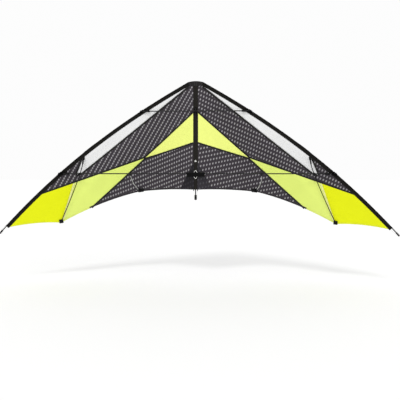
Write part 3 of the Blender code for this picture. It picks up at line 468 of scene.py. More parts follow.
def pale_rod_painted_highlight(name):
    """Pultruded glass fibre, with long fibres and a slightly waxy surface; its pale colour is
    painted highlight, the shine seen along the standoffs.
    """
    g = Graph(name, (0.62, 0.63, 0.58), 0.4, Specular_IOR_Level=0.5)
    place = g.place()
    fibre = g.noise(g.scaled(place, 900, 60, 60), 1.0, 3.0)
    stain = g.noise(place, 60.0, 4.0)
    # The pale tones are painted highlight, for the shine along the rod.
    base = g.mix(fibre, (0.30, 0.31, 0.28), (0.46, 0.47, 0.44))
    g.colour(g.mix(stain, base, (0.38, 0.39, 0.37)))
    g.rough(stain, 0.30, 0.52)
    g.bump(fibre, 0.00004)
    return g.material


def brushed(name):
    """Drawn aluminium, brushed along x."""
    g = Graph(name, (0.72, 0.73, 0.74), 0.3, Metallic=1.0)
    place = g.place()
    brush = g.noise(g.scaled(place, 60, 2200, 2200), 1.0, 2.0)
    g.colour(g.mix(brush, (0.62, 0.63, 0.64), (0.80, 0.81, 0.82)))
    g.rough(brush, 0.24, 0.42)
    g.bump(brush, 0.00002)
    return g.material


def braided(name, colour, radius):
    """Braided cord: two sets of strands that wind against each other, painted darker in the grooves
    between them as painted shade.
    """
    g = Graph(name, colour, 0.7, Specular_IOR_Level=0.25, Sheen_Weight=0.15)
    vector, u, v = g.uv("cloth")
    lay, turn = radius * 3.2, 2 * math.pi * radius
    one = g.math("PINGPONG", g.combine(u, 1 / lay, v, 2 / turn), 0.25)
    two = g.math("PINGPONG", g.combine(u, 1 / lay, v, -2 / turn), 0.25)
    strand = g.math("MULTIPLY", g.math("MAXIMUM", one, two), 4.0)
    fuzz = g.noise(vector, 2500.0, 3.0)
    soil = g.noise(vector, 90.0, 4.0)
    # Darker where the strands dip: painted shade in the grooves.
    base = g.mix(strand, shade_of(colour, 0.55), shade_of(colour, 1.1))
    g.colour(g.mix(g.math("MULTIPLY", soil, 0.25), base, shade_of(colour, 0.7)))
    g.rough(soil, 0.62, 0.85)
    g.bump(g.total(strand, g.math("MULTIPLY", fuzz, 0.3)), 0.0003)
    return g.material


# The last of these, the tip panel's colour, is the lime cloth with painted shade: the saturated
# tone it takes in the shade past the whisker's ridge.
YELLOW, LIME, LIME_IN_PAINTED_SHADE = (0.80, 0.87, 0.215), (0.73, 0.85, 0.185), (0.75, 0.80, 0.002)
WHITE, DARK = (0.76, 0.76, 0.765), (0.036, 0.030, 0.037)
SLEEVE, DOT = (0.0065, 0.0058, 0.0048), (0.34, 0.33, 0.34)
DARK_THREAD, GREY_THREAD = (0.03, 0.03, 0.03), (0.055, 0.053, 0.055)
YELLOW_THREAD, WEBBING_THREAD = (0.70, 0.72, 0.10), (0.10, 0.10, 0.10)
WEBBING = (0.013, 0.012, 0.012)
TAPE_ROWS, HEM_ROWS = (0.001, 0.006), (0.0075, -0.0075)  # of stitches
SLEEVE_ROWS, SPINE_ROWS, WEBBING_ROWS = (0.0025, 0.0360), (0.0020, -0.0020), (0.004, 0.030)

PATCH = {  # cloth and dots of each wing's patch
    -1: ((0.013, 0.012, 0.015), (0.032, 0.030, 0.036)),
    1: ((0.026, 0.024, 0.029), (0.060, 0.058, 0.066)),
}
DOT_SIZE = (0.0074, 0.0124)
DOTS = {  # pitch, row angle, row gap, stagger, size, lean
    ("lower", -1): (0.0155, 21.0, 0.0224, 0.006, DOT_SIZE, 20.0),
    ("lower", 1): (0.0170, 12.5, 0.0235, 0.007, DOT_SIZE, 20.0),
    ("upper", -1): (0.0150, 58.0, 0.0200, 0.005, DOT_SIZE, 20.0),
    ("upper", 1): (0.0165, -24.0, 0.0220, 0.006, DOT_SIZE, 20.0),
}
MAT = {
    "centre": ripstop("centre_ripstop", YELLOW, 0.86),
    "lime": ripstop("lime_ripstop", LIME, 0.86),
    # the tip panel's cloth: lime, with painted shade
    "lime_painted_shade": ripstop("lime_ripstop_painted_shade", LIME_IN_PAINTED_SHADE, 0.86),
    "white": ripstop("white_ripstop", WHITE, 0.88),
    "dark_seam": stitched("dark_seam_tape", SLEEVE, GREY_THREAD, TAPE_ROWS),
    "bright_seam": stitched("bright_seam_tape", (0.84, 0.88, 0.36), YELLOW_THREAD, TAPE_ROWS),
    "dark_hem": stitched("dark_hem", (0.022, 0.019, 0.022), GREY_THREAD, HEM_ROWS),
    "lime_hem": stitched("lime_hem", shade_of(LIME, 0.97), YELLOW_THREAD, HEM_ROWS),
    # the tip panel's hem, in the same painted shade
    "lime_hem_painted_shade": stitched("lime_hem_painted_shade", shade_of(LIME_IN_PAINTED_SHADE, 0.97), YELLOW_THREAD, HEM_ROWS),
    "sleeve": stitched("sleeve_polyester", SLEEVE, DARK_THREAD, SLEEVE_ROWS, 0.62, 0.09),
    "spine": stitched(
        "spine_sleeve_polyester", shade_of(SLEEVE, 2.0), DARK_THREAD, SPINE_ROWS, 0.62, 0.1
    ),
    "webbing": stitched(
        "nose_webbing_nylon", WEBBING, WEBBING_THREAD, WEBBING_ROWS, 0.6, 0.15, ribs=0.0016
    ),
    "cord": braided("pale_cord", (0.82, 0.82, 0.79), CORD_R),
    "tube_x": carbon("carbon_tube_across", 0),
    "tube_z": carbon("carbon_tube_up", 2),
    "rubber": moulded(
        "moulded_rubber", (0.0018, 0.0018, 0.0020), 0.36, (0.007, 0.007, 0.007), 0.04
    ),
    "plastic": moulded(
        "black_nylon", (0.003, 0.003, 0.0034), 0.45, (0.014, 0.014, 0.014), 0.07, 900.0
    ),
    # the standoffs' pale colour is painted highlight
    "rod": pale_rod_painted_highlight("standoff_rod_painted_highlight"),
    "rod_dark": moulded(
        "dark_glass_rod", (0.004, 0.004, 0.0035), 0.3, (0.012, 0.012, 0.012), 0.10, 600.0
    ),
    "metal": brushed("ferrule_aluminium"),
}
for (panel, sign), dots in DOTS.items():
    name = f"{side_of(sign)}_{panel}_dot_print"
    MAT[panel, sign] = ripstop(name, DARK, 1.3, dots=dots, dot_colour=DOT)
    if panel == "lower":
        cloth, dot = PATCH[sign]
        MAT["patch", sign] = ripstop(f"{side_of(sign)}_patch_cloth", cloth, 1.2, 0.12, dots, dot)


# ---- Mesh helpers ----
def piece(name, bm, mat, thickness=0.0):
    """An object from a bmesh, with the cloth thickened where it has a thickness."""
    mesh = bpy.data.meshes.new(name)
    bmesh.ops.recalc_face_normals(bm, faces=bm.faces)
    bm.to_mesh(mesh)
    bm.free()
    mesh.shade_smooth()
    mesh.materials.append(mat)
    obj = bpy.data.objects.new(name, mesh)
    bpy.context.scene.collection.objects.link(obj)
    if thickness:
        solid = obj.modifiers.new("cloth", "SOLIDIFY")
        solid.thickness, solid.offset = thickness, 0
    return obj


def strip(name, rows, spots, mat, thickness, closed=False):
    """Quads between like rows of points. spots holds each point's place on the cloth."""
    bm = bmesh.new()
    layer = bm.loops.layers.uv.new("cloth")
    made = [[bm.verts.new(p) for p in row] for row in rows]
    count = len(rows[0])
    for i in range(len(rows) - 1):
        for j in range(count if closed else count - 1):
            k = (j + 1) % count
            face = bm.faces.new((made[i][j], made[i][k], made[i + 1][k], made[i + 1][j]))
            places = (spots[i][j], spots[i][j + 1], spots[i + 1][j + 1], spots[i + 1][j])
            for loop, place in zip(face.loops, places):
                loop[layer].uv = place
    return piece(name, bm, mat, thickness)


def distances(points):
    """How far along a polyline each of its points is."""
    return np.r_[0, np.cumsum([(b - a).length for a, b in zip(points, points[1:])])]


def along(points, step):
    """The points of a polyline, spaced evenly about a step apart, and how far along each is."""
    points = [Vector(p) for p in points]
    far = distances(points)
    count = max(2, round(far[-1] / step) + 1)
    runs = np.linspace(0, far[-1], count)
    axes = [np.interp(runs, far, [p[i] for p in points]) for i in range(len(points[0]))]
    return [Vector(p) for p in zip(*axes)], runs


def way_at(points, i):
    """The direction of a polyline at one of its points."""
    return (points[min(i + 1, len(points) - 1)] - points[max(i - 1, 0)]).normalized()


def square_at(points, i, towards):
    """Square to a plan polyline at one of its points, on the side of a plan point."""
    way = way_at(points, i)
    square = Vector((-way.y, way.x))
    return -square if square.dot(Vector(towards) - points[i]) < 0 else square


def mirrored(points, sign):
    """The right wing's points, placed on the wing of that sign."""
    return [Vector((sign * p.x, p.y, p.z)) for p in points]


def hang(obj, sign, crosses=False):
    """The piece moves with its wing; one that reaches the spine gets no body, its place baked into
    its mesh.
    """
    if crosses:
        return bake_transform(obj)
    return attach(obj, side_of(sign) + "_wing")


# ---- Sail panels ----
OUTLINE_STEP, TAPE_STEP, HEM_STEP = 0.012, 0.009, 0.010


def edge_run(start, end):
    """Plan points past the sleeve's seam, so that the sleeve's two layers hold the cloth."""
    count = max(2, round(abs(end - start) / OUTLINE_STEP))
    stations = [start + (end - start) * i / count for i in range(count + 1)]
    return [seam_at(x, SLEEVE_HELD) for x in stations]


def trailing_run(stretch, start, end):
    """Plan points along part of a stretch of trailing edge."""
    (xa, za), (xb, zb) = trailing_point(stretch, start), trailing_point(stretch, end)
    count = max(3, round(math.hypot(xb - xa, zb - za) / OUTLINE_STEP))
    shares = [start + (end - start) * i / count for i in range(count + 1)]
    return [trailing_point(stretch, t) for t in shares]


TIP_START, WINDOW_END = le_x(TIP_SEAM_Z), le_x(WINDOW_OUTER_Z)
CORNER = seam_at(WINDOW_END)
WINDOW_OUTER = (CORNER[0] + WINDOW_OUTER_RUN[0], CORNER[1] + WINDOW_OUTER_RUN[1])
WINDOW_FOOT = (CORNER[0] + WINDOW_FOOT_RUN[0], CORNER[1] + WINDOW_FOOT_RUN[1])
TIP_SEAM_TOP = seam_at(TIP_START)
FORK = tuple(c + (n - c) * TIP_SEAM_SHARE for c, n in zip(CROSSING, TIP_SEAM_TOP))
UNDER_X = 0.0100  # the sail's inner edge, held between the spine sleeve's layers
HIGH, LOW = (UNDER_X, CENTRE_TOP + 0.002), (UNDER_X, CENTRE_FOOT - 0.001)

UPPER_OUTLINE = [(UNDER_X, APEX_Z + 0.002), seam_at(WINDOW_TOP_X, SLEEVE_HELD)]
UPPER_OUTLINE += [WINDOW_FOOT, WINDOW_OUTER] + edge_run(WINDOW_END, TIP_START)
UPPER_OUTLINE += [FORK, CROSSING, HIGH]
LOWER_OUTLINE = [LOW, CROSSING] + trailing_run(1, OUTER_SEAM_SHARE, 0)
LOWER_OUTLINE += trailing_run(0, 1, 0)[1:] + [(UNDER_X, TRAILING_Z)]
WINDOW_OUTLINE = edge_run(WINDOW_TOP_X, WINDOW_END) + [WINDOW_OUTER, WINDOW_FOOT]
OUTER_OUTLINE = [CROSSING, FORK] + trailing_run(1, 1, OUTER_SEAM_SHARE)
TIP_OUTLINE = [FORK] + edge_run(TIP_START, TIP_CORNER_X) + trailing_run(2, 1, 0)[1:]

# Outline, material, grain in degrees, reaches the spine. The upper and lower panels' materials
# differ from wing to wing.
PANELS = {
    "window_panel": (WINDOW_OUTLINE, "white", -35, False),
    "upper_panel": (UPPER_OUTLINE, "upper", -40, True),
    "centre_panel": ([HIGH, CROSSING, LOW], "centre", -20, True),
    "lower_panel": (LOWER_OUTLINE, "lower", -8, True),
    "outer_panel": (OUTER_OUTLINE, "lime", -22, False),
    # the tip panel's cloth is lime with painted shade
    "tip_panel": (TIP_OUTLINE, "lime_painted_shade", -45, False),
}
PANEL_MIDDLES = {name: tuple(np.mean(facts[0], axis=0)) for name, facts in PANELS.items()}


def sail_cloth(name, outline, sign, mat, grain, lift=0.0, grid=GRID):
    """A flat outline in plan, cut to a grid and laid on the sail."""
    bm = bmesh.new()
    bm.faces.new([bm.verts.new((x, 0, z)) for x, z in outline])
    for normal, places in zip((Vector((1, 0, 0)), Vector((0, 0, 1))), zip(*outline)):
        for i in range(math.ceil(min(places) / grid), math.ceil(max(places) / grid)):
            parts = bm.verts[:] + bm.edges[:] + bm.faces[:]
            cut = normal * i * grid
            bmesh.ops.bisect_plane(bm, geom=parts, dist=1e-6, plane_co=cut, plane_no=normal)
    bmesh.ops.triangulate(bm, faces=[f for f in bm.faces if len(f.verts) > 4])
    plan, cloth = bm.loops.layers.uv.new("plan"), bm.loops.layers.uv.new("cloth")
    c, s = cos_sin(grain)
    for face in bm.faces:
        for loop in face.loops:
            x, z = loop.vert.co.x, loop.vert.co.z
            loop[plan].uv = sign * x, z
            loop[cloth].uv = x * c + z * s, -x * s + z * c
    for v in bm.verts:
        x, z = v.co.x, v.co.z
        v.co = lifted(x, z, sign, lift) if lift else surface(x, z, sign)
    return piece(name, bm, mat, CLOTH_THICK)


def tape(name, line, sign, mat, lift, away_from):
    """A seam's allowance beside a plan line, on the front (lift above 0) or the back."""
    points, runs = along(line, TAPE_STEP)
    rows, spots = [], []
    across = [TAPE_WIDTH * k / 4 - TAPE_OVER for k in range(5)]
    for i, p in enumerate(points):
        away = -square_at(points, i, away_from)
        rows.append([lifted(*(p + away * v), sign, lift) for v in across])
        spots.append([(runs[i], v) for v in across])
    return strip(name, rows, spots, mat, TAPE_THICK)


# In from the edge, and off the sail's surface.
HEM_SECTION = [(HEM_WIDTH, 0.0004), (0.005, 0.0005), (0.0012, 0.0005), (0.0, 0.0)]
HEM_SECTION += [(d, -lift) for d, lift in HEM_SECTION[2::-1]]


def hem(name, line, sign, mat, towards):
    """The edge of the cloth, folded over to both sides. towards is a plan point on the sail."""
    points, runs = along(line, HEM_STEP)
    rows, spots = [], []
    for i, p in enumerate(points):
        inward = square_at(points, i, towards)
        rows.append([lifted(*(p + inward * d), sign, lift) for d, lift in HEM_SECTION])
        spots.append([(runs[i], math.copysign(d, lift)) for d, lift in HEM_SECTION])
    return strip(name, rows, spots, mat, TAPE_THICK)


def sail(sign):
    """One wing's panels, with their seams and hems."""
    side = side_of(sign)
    for name, (outline, key, grain, crosses) in PANELS.items():
        mat = MAT[key, sign] if key in ("upper", "lower") else MAT[key]
        obj = sail_cloth(f"{side}_{name}_cloth", outline, sign, mat, grain)
        hang(obj, sign, crosses)
        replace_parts(obj, f"{side}_{name}")
    seam_foot = Vector(trailing_point(1, OUTER_SEAM_SHARE)).lerp(Vector(CROSSING), 0.022)
    window_line = [seam_at(WINDOW_TOP_X), WINDOW_FOOT, WINDOW_OUTER, CORNER]
    seams = {  # plan line, material, reaches the spine, the panel whose edge is folded
        "centre_top": ([HIGH, CROSSING], "dark_seam", True, "centre_panel"),
        "centre_foot": ([LOW, CROSSING], "dark_seam", True, "centre_panel"),
        "lower_outer": ([CROSSING, seam_foot], "dark_seam", False, "outer_panel"),
        "upper_outer": ([CROSSING, FORK], "dark_seam", False, "outer_panel"),
        "outer_tip": ([FORK, WHISKER_SEAT], "bright_seam", False, "tip_panel"),
        "upper_tip": ([FORK, TIP_SEAM_TOP], "dark_seam", False, "tip_panel"),
        "window": (window_line, "dark_seam", False, "window_panel"),
    }
    extras = {name: [] for name in PANELS}
    for name, (line, key, crosses, panel) in seams.items():
        for face, lift in (("front", TAPE_LIFT), ("back", -TAPE_LIFT)):
            away = PANEL_MIDDLES[panel]
            obj = tape(f"{side}_{name}_seam_{face}", line, sign, MAT[key], lift, away)
            extras[panel].append(hang(obj, sign, crosses))
    inner = trailing_run(0, 0, 1) + trailing_run(1, 0, OUTER_SEAM_SHARE)[1:]
    hems = {  # plan line, material, reaches the spine
        "lower_panel": (inner, "dark_hem", True),
        "outer_panel": (trailing_run(1, OUTER_SEAM_SHARE, 1), "lime_hem", False),
        # the tip panel's hem carries the same painted shade
        "tip_panel": (trailing_run(2, 0, 1), "lime_hem_painted_shade", False),
    }
    for name, (line, key, crosses) in hems.items():
        obj = hem(f"{side}_{name}_hem", line, sign, MAT[key], CROSSING)
        extras[name].append(hang(obj, sign, crosses))


# ---- Sleeves ----
SLEEVE_STEP, SLEEVE_CLEARANCE, FERRULE_BULGE = 0.010, 0.0009, 0.0011
FLARE, FLARE_LENGTH = 0.0005, 0.004


def sleeve(sign, part, start, end):
    """A strip folded round the leading edge tube; its two layers hold the sail at their seam."""
    side = side_of(sign)
    arc = [math.radians(a) for a in range(-40, -321, -20)]
    count = max(4, round((end - start) / SLEEVE_STEP))
    rows, spots, run, last = [], [], 0.0, None
    for i in range(count + 1):
        x = start + (end - start) * i / count
        over = smooth_step(x, FERRULE_ENDS[0] - FERRULE_FADE, FERRULE_ENDS[0])
        over *= 1 - smooth_step(x, FERRULE_ENDS[1], FERRULE_ENDS[1] + FERRULE_FADE)
        flare = FLARE * math.exp(-min(x - start, end - x) / FLARE_LENGTH)
        slack = 0.00018 * math.sin(x * 310) + 0.00012 * math.sin(x * 173 + 1)
        r = TUBE_R + SLEEVE_CLEARANCE + FERRULE_BULGE * over + flare + slack
        plan = [(SLEEVE_DEPTH, -0.00055), (SLEEVE_DEPTH - 0.004, -0.0006)]
        plan.append((2 * r + 0.001, -0.0008 - flare))
        plan += [(r * math.cos(a), r * math.sin(a)) for a in arc]
        plan += [(u, -y) for u, y in plan[2::-1]]
        centre = le_point(x)
        run += (centre - last).length if last else 0.0
        last = centre
        row = [centre + le_inward(x) * u + BACK * y for u, y in plan]
        rows.append(mirrored(row, sign))
        spots.append([(run, v) for v in distances(row)])
    obj = strip(f"{side}_{part}_cloth", rows, spots, MAT["sleeve"], SLEEVE_THICK)
    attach(obj, side + "_wing")
    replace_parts(obj, f"{side}_{part}")
    return obj


BAND_SECTIONS = {  # in from the tube's axis, and out of the sail's plane
    "front": [
        (SLEEVE_DEPTH, -0.0006), (0.011, -0.0007), (0.0078, -0.0007), (0.0070, 0.0),
        (0.0078, 0.0020),
    ],
    "back": [
        (SLEEVE_DEPTH, 0.0006), (0.0105, 0.0022), (0.0068, 0.0050), (0.0035, 0.0071),
        (-0.0040, 0.0071),
    ],
}
BAND_LAP = 0.004  # under the sleeve at each end
BAND_PARTS = 8
BAND_PULL, BAND_PULLED = 0.0022, 0.0105  # how far the front is pulled in, and out to where


def opening_band(sign, part, start, end):
    """The sleeve's cloth where its fold is cut away: a front, and a back behind the fitting."""
    side = side_of(sign)
    for face, section in BAND_SECTIONS.items():
        rows, spots = [], []
        for i in range(BAND_PARTS + 1):
            x = start - BAND_LAP + (end - start + 2 * BAND_LAP) * i / BAND_PARTS
            pull = BAND_PULL * (2 * i / BAND_PARTS - 1) ** 4 * (face == "front")
            places = [(u - pull * (u < BAND_PULLED), y) for u, y in section]
            row = [le_point(x) + le_inward(x) * u + BACK * y for u, y in places]
            rows.append(mirrored(row, sign))
            spots.append([(x * 1.2, v) for v in distances(row)])
        name = f"{side}_{part}_opening_{face}"
        obj = strip(name, rows, spots, MAT["sleeve"], SLEEVE_THICK)
        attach(obj, side + "_wing")


COLLARS = [(-0.022, 0.012), (UPPER_SPREADER_Z - 0.006, UPPER_SPREADER_Z + 0.006)]
COLLAR_FADE, COLLAR_LAP = 0.012, 0.001
SPINE_OPENINGS = [(UPPER_SPREADER_Z - 0.040, UPPER_SPREADER_Z + 0.019), (-0.024, 0.014)]
OPENING_HALF = 0.0075  # across
SPINE_STEP, SPINE_LAP = 0.009, 0.004
SPINE_HALF_SECTION = [0.0120, 0.0100, 0.0088, OPENING_HALF, 0.006, 0.0045, 0.003, 0.0015]
SPINE_CROWN, COLLAR_RISE = 0.0040, 0.0030  # the swell over the tube, and the rest at a collar
CROWN_HALF, COLLAR_WIDER = 0.0078, 0.0026


def over_collar(z, low, high):
    """1 behind a collar on the spine, falling to 0 a short way past it."""
    above = smooth_step(z, low - COLLAR_FADE, low - COLLAR_LAP)
    return above * (1 - smooth_step(z, high + COLLAR_LAP, high + COLLAR_FADE))


def spine_sleeve(tabs):
    """The flat sleeve up the spine. Its front is open at the T and at the upper spreader's clip."""
    ends = {TRAILING_Z, WEBBING_FOOT_Z + SPINE_LAP}
    levels = sorted({z for pair in SPINE_OPENINGS for z in pair} | ends)
    filled = []
    for a, b in zip(levels, levels[1:]):
        steps = max(1, round((b - a) / SPINE_STEP))
        filled += [a + (b - a) * i / steps for i in range(steps)]
    filled.append(levels[-1])
    xs = [-SPINE_HALF] + [-x for x in SPINE_HALF_SECTION] + [0.0]
    xs += [-x for x in xs[-2::-1]]
    bm = bmesh.new()
    layer = bm.loops.layers.uv.new("cloth")
    for face_sign in (-1, 1):
        made = []
        for z in filled:
            ripple = 0.00015 * math.sin(z * 260)
            row = []
            full = max(over_collar(z, *pair) for pair in COLLARS) if face_sign > 0 else 0.0
            half = CROWN_HALF + COLLAR_WIDER * full
            for x in xs:
                crown = 0.5 + 0.5 * math.cos(math.pi * min(abs(x) / half, 1))
                y = SLEEVE_THICK + (SPINE_CROWN + COLLAR_RISE * full) * crown + ripple * crown
                row.append(bm.verts.new((x, face_sign * y, z)))
            made.append(row)
        for i in range(len(filled) - 1):
            middle = (filled[i] + filled[i + 1]) / 2
            opened = face_sign < 0 and any(a < middle < b for a, b in SPINE_OPENINGS)
            low, high = made[i], made[i + 1]
            for j in range(len(xs) - 1):
                if opened and abs(xs[j] + xs[j + 1]) / 2 < OPENING_HALF:
                    continue
                face = bm.faces.new((low[j], low[j + 1], high[j + 1], high[j]))
                for loop in face.loops:
                    x, _, z = loop.vert.co
                    loop[layer].uv = z, math.copysign(SPINE_HALF - abs(x), x)
    bmesh.ops.delete(bm, geom=[v for v in bm.verts if not v.link_faces], context="VERTS")
    obj = piece("spine_sleeve_cloth", bm, MAT["spine"], SLEEVE_THICK)
    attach(obj, "centre_frame")
    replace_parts(obj, "spine_sleeve")
    return obj


NOSE_REACH, NOSE_WRAP = 0.041, 0.058  # of each half's strip, out from the spine and round
NOSE_ROWS, NOSE_SIDE_POINTS = 15, 9
NOSE_CROWN = 0.0042  # height of the rounded top
NOSE_FOOT_HALF, NOSE_WIDENING, SPINE_BULGE_HALF = 0.0018, 0.0024, 0.0046


def nose_half(sign):
    """Half of the webbing folded over the nose."""
    rows, spots = [], []
    turns = np.linspace(0.4, math.pi - 0.4, 5)
    for i in range(NOSE_ROWS):
        x = NOSE_REACH * i / (NOSE_ROWS - 1)
        spring = NOSE_Z - 0.0008 - 0.0055 * (x / NOSE_REACH) ** 2 - NOSE_CROWN
        foot = WEBBING_FOOT_Z - 0.004 + 0.010 * (x / NOSE_REACH) ** 1.5
        over_spine = 0.5 + 0.5 * math.cos(math.pi * min(x / 0.0125, 1))
        side = []
        for k in range(NOSE_SIDE_POINTS):
            share = k / (NOSE_SIDE_POINTS - 1)
            bulge = SPINE_BULGE_HALF - NOSE_FOOT_HALF - NOSE_WIDENING / 2 * share
            half = NOSE_FOOT_HALF + NOSE_WIDENING * share + bulge * over_spine * (1 - 0.25 * share)
            side.append((-half, foot + (spring - foot) * share))
        crown = [(-half * math.cos(a), spring + NOSE_CROWN * math.sin(a)) for a in turns]
        section = side + crown + [(-y, z) for y, z in side[::-1]]
        row = [Vector((sign * x, y, z)) for y, z in section]
        rows.append(row)
        spots.append([(v, x) for v in distances(row)])
    name = f"{side_of(sign)}_nose_webbing_half"
    obj = strip(name, rows, spots, MAT["webbing"], WEBBING_THICK)
    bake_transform(obj)
    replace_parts(obj, "nose_webbing")
    return obj


def patch(sign):
    """The cloth laid on the lower panel beside the foot of the spine."""
    side = side_of(sign)
    foot = trailing_point(0, (PATCH_WIDTH - SAIL_X) / (STANDOFF_SEAT[0] - SAIL_X))
    outline = [(UNDER_X, PATCH_TOP), foot, trailing_point(0, 0), (UNDER_X, TRAILING_Z)]
    outline = [(x, z + 0.0005) for x, z in outline]
    name, mat = f"{side}_spine_patch_cloth", MAT["patch", sign]
    obj = sail_cloth(name, outline, sign, mat, -30, PATCH_LIFT, PATCH_GRID)
    hang(obj, sign, True)
    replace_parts(obj, f"{side}_spine_patch")
    return obj


# ---- Cords ----
def rounded(points, turns=3):
    """The route with its corners cut, so that the cord bends smoothly."""
    for _ in range(turns):
        cut = [points[0]]
        for a, b in zip(points, points[1:]):
            cut += [a.lerp(b, 0.25), a.lerp(b, 0.75)]
        points = [*cut, points[-1]]
    return points


CORD_SIDES = 10
CORD_GAP = 0.0003
NOCK_DEPTH = 0.0045  # of the slots in the caps
LOOP_SPREAD, LOOP_REACH, LOOP_TUCK = 0.0085, 0.0115, 0.003  # tucked into the T


def cord(name, points, radius, body):
    """A braided cord along a route, a little uneven in thickness."""
    points, runs = along(points, radius * 1.6)
    turns = [2 * math.pi * k / CORD_SIDES for k in range(CORD_SIDES + 1)]
    side = way_at(points, 0).orthogonal().normalized()
    rows, spots = [], []
    for i, (p, run) in enumerate(zip(points, runs)):
        way = way_at(points, i)
        side = (side - way * side.dot(way)).normalized()
        up = way.cross(side)
        thick = radius * (1 + 0.03 * math.sin(run * 900))
        rows.append([p + (side * math.cos(a) + up * math.sin(a)) * thick for a in turns[:-1]])
        spots.append([(run, a * radius) for a in turns])
    obj = strip(name, rows, spots, MAT["cord"], 0.0, closed=True)
    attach(obj, body)
    return obj


def tip_cord(sign):
    """From the sail's corner, over the nock in the tip cap and back to the sleeve's end."""
    cap_r, cap_floor = 0.0045, 0.006
    end = le_point(LE_END_X)
    way = (end - le_point(LE_END_X - 0.030)).normalized()
    across = Vector((way.z, 0, -way.x))
    seam = le_point(SLEEVE_END_X) + way * 0.002
    in_slot = end + way * (CORD_GAP + cap_floor - NOCK_DEPTH + CORD_R + CORD_GAP)
    clear = cap_r + CORD_R + CORD_GAP
    past = in_slot - across * (clear + 0.0004)
    route = [
        seam + across * 0.011,
        seam.lerp(in_slot, 0.5) + across * 0.010,
        in_slot + across * (clear + 0.0012) - way * 0.003,
        in_slot + across * (clear + 0.0004),
        in_slot,
        past,
        past - way * 0.003,
        seam - across * clear + way * 0.002,
    ]
    side = side_of(sign)
    route = rounded(mirrored(route, sign), 2)
    obj = cord(side + "_tip_cord_braid", route, CORD_R, side + "_wing")
    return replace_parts(obj, side + "_tip_cord")


KNOT_CENTRE, KNOT_SIZE, KNOT_STEPS = Vector((0, -0.0078, 0.069)), 0.0050, 40


def knot_route():
    """The route of a small overhand knot."""
    found = []
    for i in range(KNOT_STEPS + 1):
        a = 2 * math.pi * i / KNOT_STEPS
        turn = math.sin(a) + 2 * math.sin(2 * a), math.sin(3 * a), 2 * math.cos(2 * a) - math.cos(a)
        found.append(KNOT_CENTRE + Vector(turn) * KNOT_SIZE / 3)
    return found


TAB_SECTION = [(-0.0011, TRAILING_Z + 0.006), (-0.0012, TRAILING_Z), (-0.0012, TRAILING_Z - 0.0055)]
TAB_SECTION += [(-0.0007, TRAILING_Z - 0.0075), (0.0007, TRAILING_Z - 0.0075)]
TAB_SECTION += [(-y, z) for y, z in TAB_SECTION[2::-1]]
TAB_X, TAB_WIDTHS = 0.0108, (-0.002, -0.0007, 0.0007, 0.002)


def spine_tabs():
    """Small folded tabs under the trailing edge, sewn to the spine sleeve."""
    tabs = []
    for name, x in (("left", -TAB_X), ("right", TAB_X)):
        rows = [[Vector((x + w, y, z)) for y, z in TAB_SECTION] for w in TAB_WIDTHS]
        spots = [[(k * 0.003, w) for k in range(len(TAB_SECTION))] for w in TAB_WIDTHS]
        tab = strip(f"{name}_spine_tab", rows, spots, MAT["webbing"], TAB_THICK)
        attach(tab, "centre_frame")
        tabs.append(tab)
    return tabs


def centre_cords():
    """The knot on the spine, the loop's strands above and below the T, and the tension cord."""
    knot = cord("spine_knot_braid", knot_route(), KNOT_CORD_R, "centre_frame")
    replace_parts(knot, "spine_knot")
    for end, edge, reach in (("upper", T_TOP, LOOP_REACH), ("lower", T_BOTTOM, -LOOP_REACH)):
        inside = math.copysign(LOOP_TUCK, reach)
        for n, spread in (("a", -LOOP_SPREAD), ("b", LOOP_SPREAD)):
            route = [
                (0.0015 + spread * 0.05, -0.0092, edge + reach),
                (spread * 0.45, -0.0094, edge + reach * 0.65),
                (spread * 0.9, -0.0092, edge + reach * 0.2),
                (spread, -0.0088, edge - inside),
            ]
            route = rounded([Vector(p) for p in route])
            loop = cord(f"centre_loop_{end}_strand_{n}", route, LOOP_CORD_R, "centre_frame")
            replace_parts(loop, "centre_loop")
    foot, under = TRAILING_Z - CORD_R - CORD_GAP, SPINE_FOOT_Z + NOCK_DEPTH - CORD_R - CORD_GAP
    beside = (box_high("spine_end_cap")[0] - box_low("spine_end_cap")[0]) / 2 + CORD_R + CORD_GAP
    leg = [(0.0105, foot), (beside + 0.001, under + 0.012), (beside + 0.0004, under)]
    points = [Vector((x, 0, z)) for x, z in leg] + [Vector((0, 0, under))]
    points += [Vector((-p.x, 0, p.z)) for p in points[2::-1]]
    tension = cord("spine_tension_braid", rounded(points, 2), CORD_R, "centre_frame")
    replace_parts(tension, "spine_tension_cord")


# ---- Materials of the frame's own nodes ----
NODE_MATERIALS = [  # part of the node's name, first match wins
    ("le_upper_tube", "tube_x"),
    ("le_lower_tube", "tube_x"),
    ("le_ferrule", "metal"),
    ("spine_tube", "tube_z"),
    ("spreader_clip", "rubber"),
    ("lower_spreader", "tube_x"),
    ("upper_spreader", "tube_x"),
    ("whisker_rod", "rod_dark"),
    ("standoff_rod", "rod"),
    ("le_fitting", "rubber"),
    ("centre_t", "rubber"),
    ("_clip", "plastic"),
    ("_foot", "plastic"),
    ("_socket", "plastic"),
    ("_cap", "plastic"),
]
BEVEL_WIDTH, BEVEL_FROM = 0.0003, math.radians(40)


def finish_nodes():
    """Give the CAD nodes that still show their materials, and the moulded ones soft edges."""
    for name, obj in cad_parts.items():
        if obj.hide_render:
            continue
        key = next(key for part, key in NODE_MATERIALS if part in name)
        for place in obj.material_slots:
            place.material = MAT[key]
        if key in ("rubber", "plastic"):
            bevel = obj.modifiers.new("edges", "BEVEL")
            bevel.width, bevel.segments, bevel.limit_method = BEVEL_WIDTH, 2, "ANGLE"
            bevel.angle_limit = BEVEL_FROM
            bevel.harden_normals = True


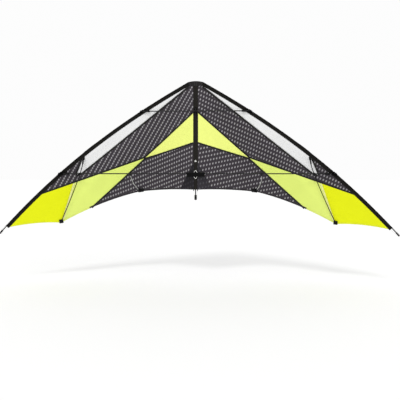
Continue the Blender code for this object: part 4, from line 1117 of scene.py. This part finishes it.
# ---- Stage, light, camera ----
FLOOR_Z, FLOOR_SIZE, SKY_STRENGTH = -0.62, 60, 0.98
SUNS = [  # name, strength, spread and turns in degrees
    ("key", 0.80, 10, (48, 0, -9)),
    ("fill", 0.30, 40, (60, 0, 40)),
]
CAMERA_PLACE, CAMERA_TARGET = Vector((0.1827, -2.977, 0.0214)), Vector((0.0241, 0, 0.0917))
CAMERA_LENS, CAMERA_SENSOR, CAMERA_SHIFT = 48.84, 36.0, -0.1075


def stage():
    """A pale floor, a white sky and two suns."""
    bpy.ops.mesh.primitive_plane_add(size=FLOOR_SIZE, location=(0, 0, FLOOR_Z))
    floor = bpy.context.object
    floor.name = "floor"
    g = Graph("pale_floor", (0.86, 0.86, 0.86), 0.9, Specular_IOR_Level=0.1)
    floor.data.materials.append(g.material)
    scene = bpy.context.scene
    scene.world = scene.world or bpy.data.worlds.new("studio")
    scene.world.use_nodes = True
    sky = scene.world.node_tree.nodes["Background"]
    sky.inputs["Color"].default_value = (1, 1, 1, 1)
    sky.inputs["Strength"].default_value = SKY_STRENGTH
    for name, strength, spread, turns in SUNS:
        lamp = bpy.data.lights.new(name, "SUN")
        lamp.energy, lamp.angle = strength, math.radians(spread)
        obj = bpy.data.objects.new(name, lamp)
        obj.rotation_euler = [math.radians(a) for a in turns]
        scene.collection.objects.link(obj)


def camera():
    data = bpy.data.cameras.new("camera")
    obj = bpy.data.objects.new("camera", data)
    scene = bpy.context.scene
    scene.collection.objects.link(obj)
    obj.location = CAMERA_PLACE
    obj.rotation_euler = (CAMERA_TARGET - CAMERA_PLACE).to_track_quat("-Z", "Y").to_euler()
    data.lens, data.sensor_width, data.shift_y = CAMERA_LENS, CAMERA_SENSOR, CAMERA_SHIFT
    data.clip_end = 100
    scene.camera = obj
    scene.view_settings.view_transform = "Standard"


camera()
stage()
for sign in (1, -1):
    sail(sign)
    sleeve(sign, "le_sleeve_upper", SLEEVE_START_X, UPPER_CUT[0])
    sleeve(sign, "le_sleeve_middle", UPPER_CUT[1], LOWER_CUT[0])
    sleeve(sign, "le_sleeve_lower", LOWER_CUT[1], SLEEVE_END_X)
    opening_band(sign, "upper", *UPPER_CUT)
    opening_band(sign, "lower", *LOWER_CUT)
    nose_half(sign)
    patch(sign)
    tip_cord(sign)
spine_sleeve(spine_tabs())
centre_cords()
finish_nodes()
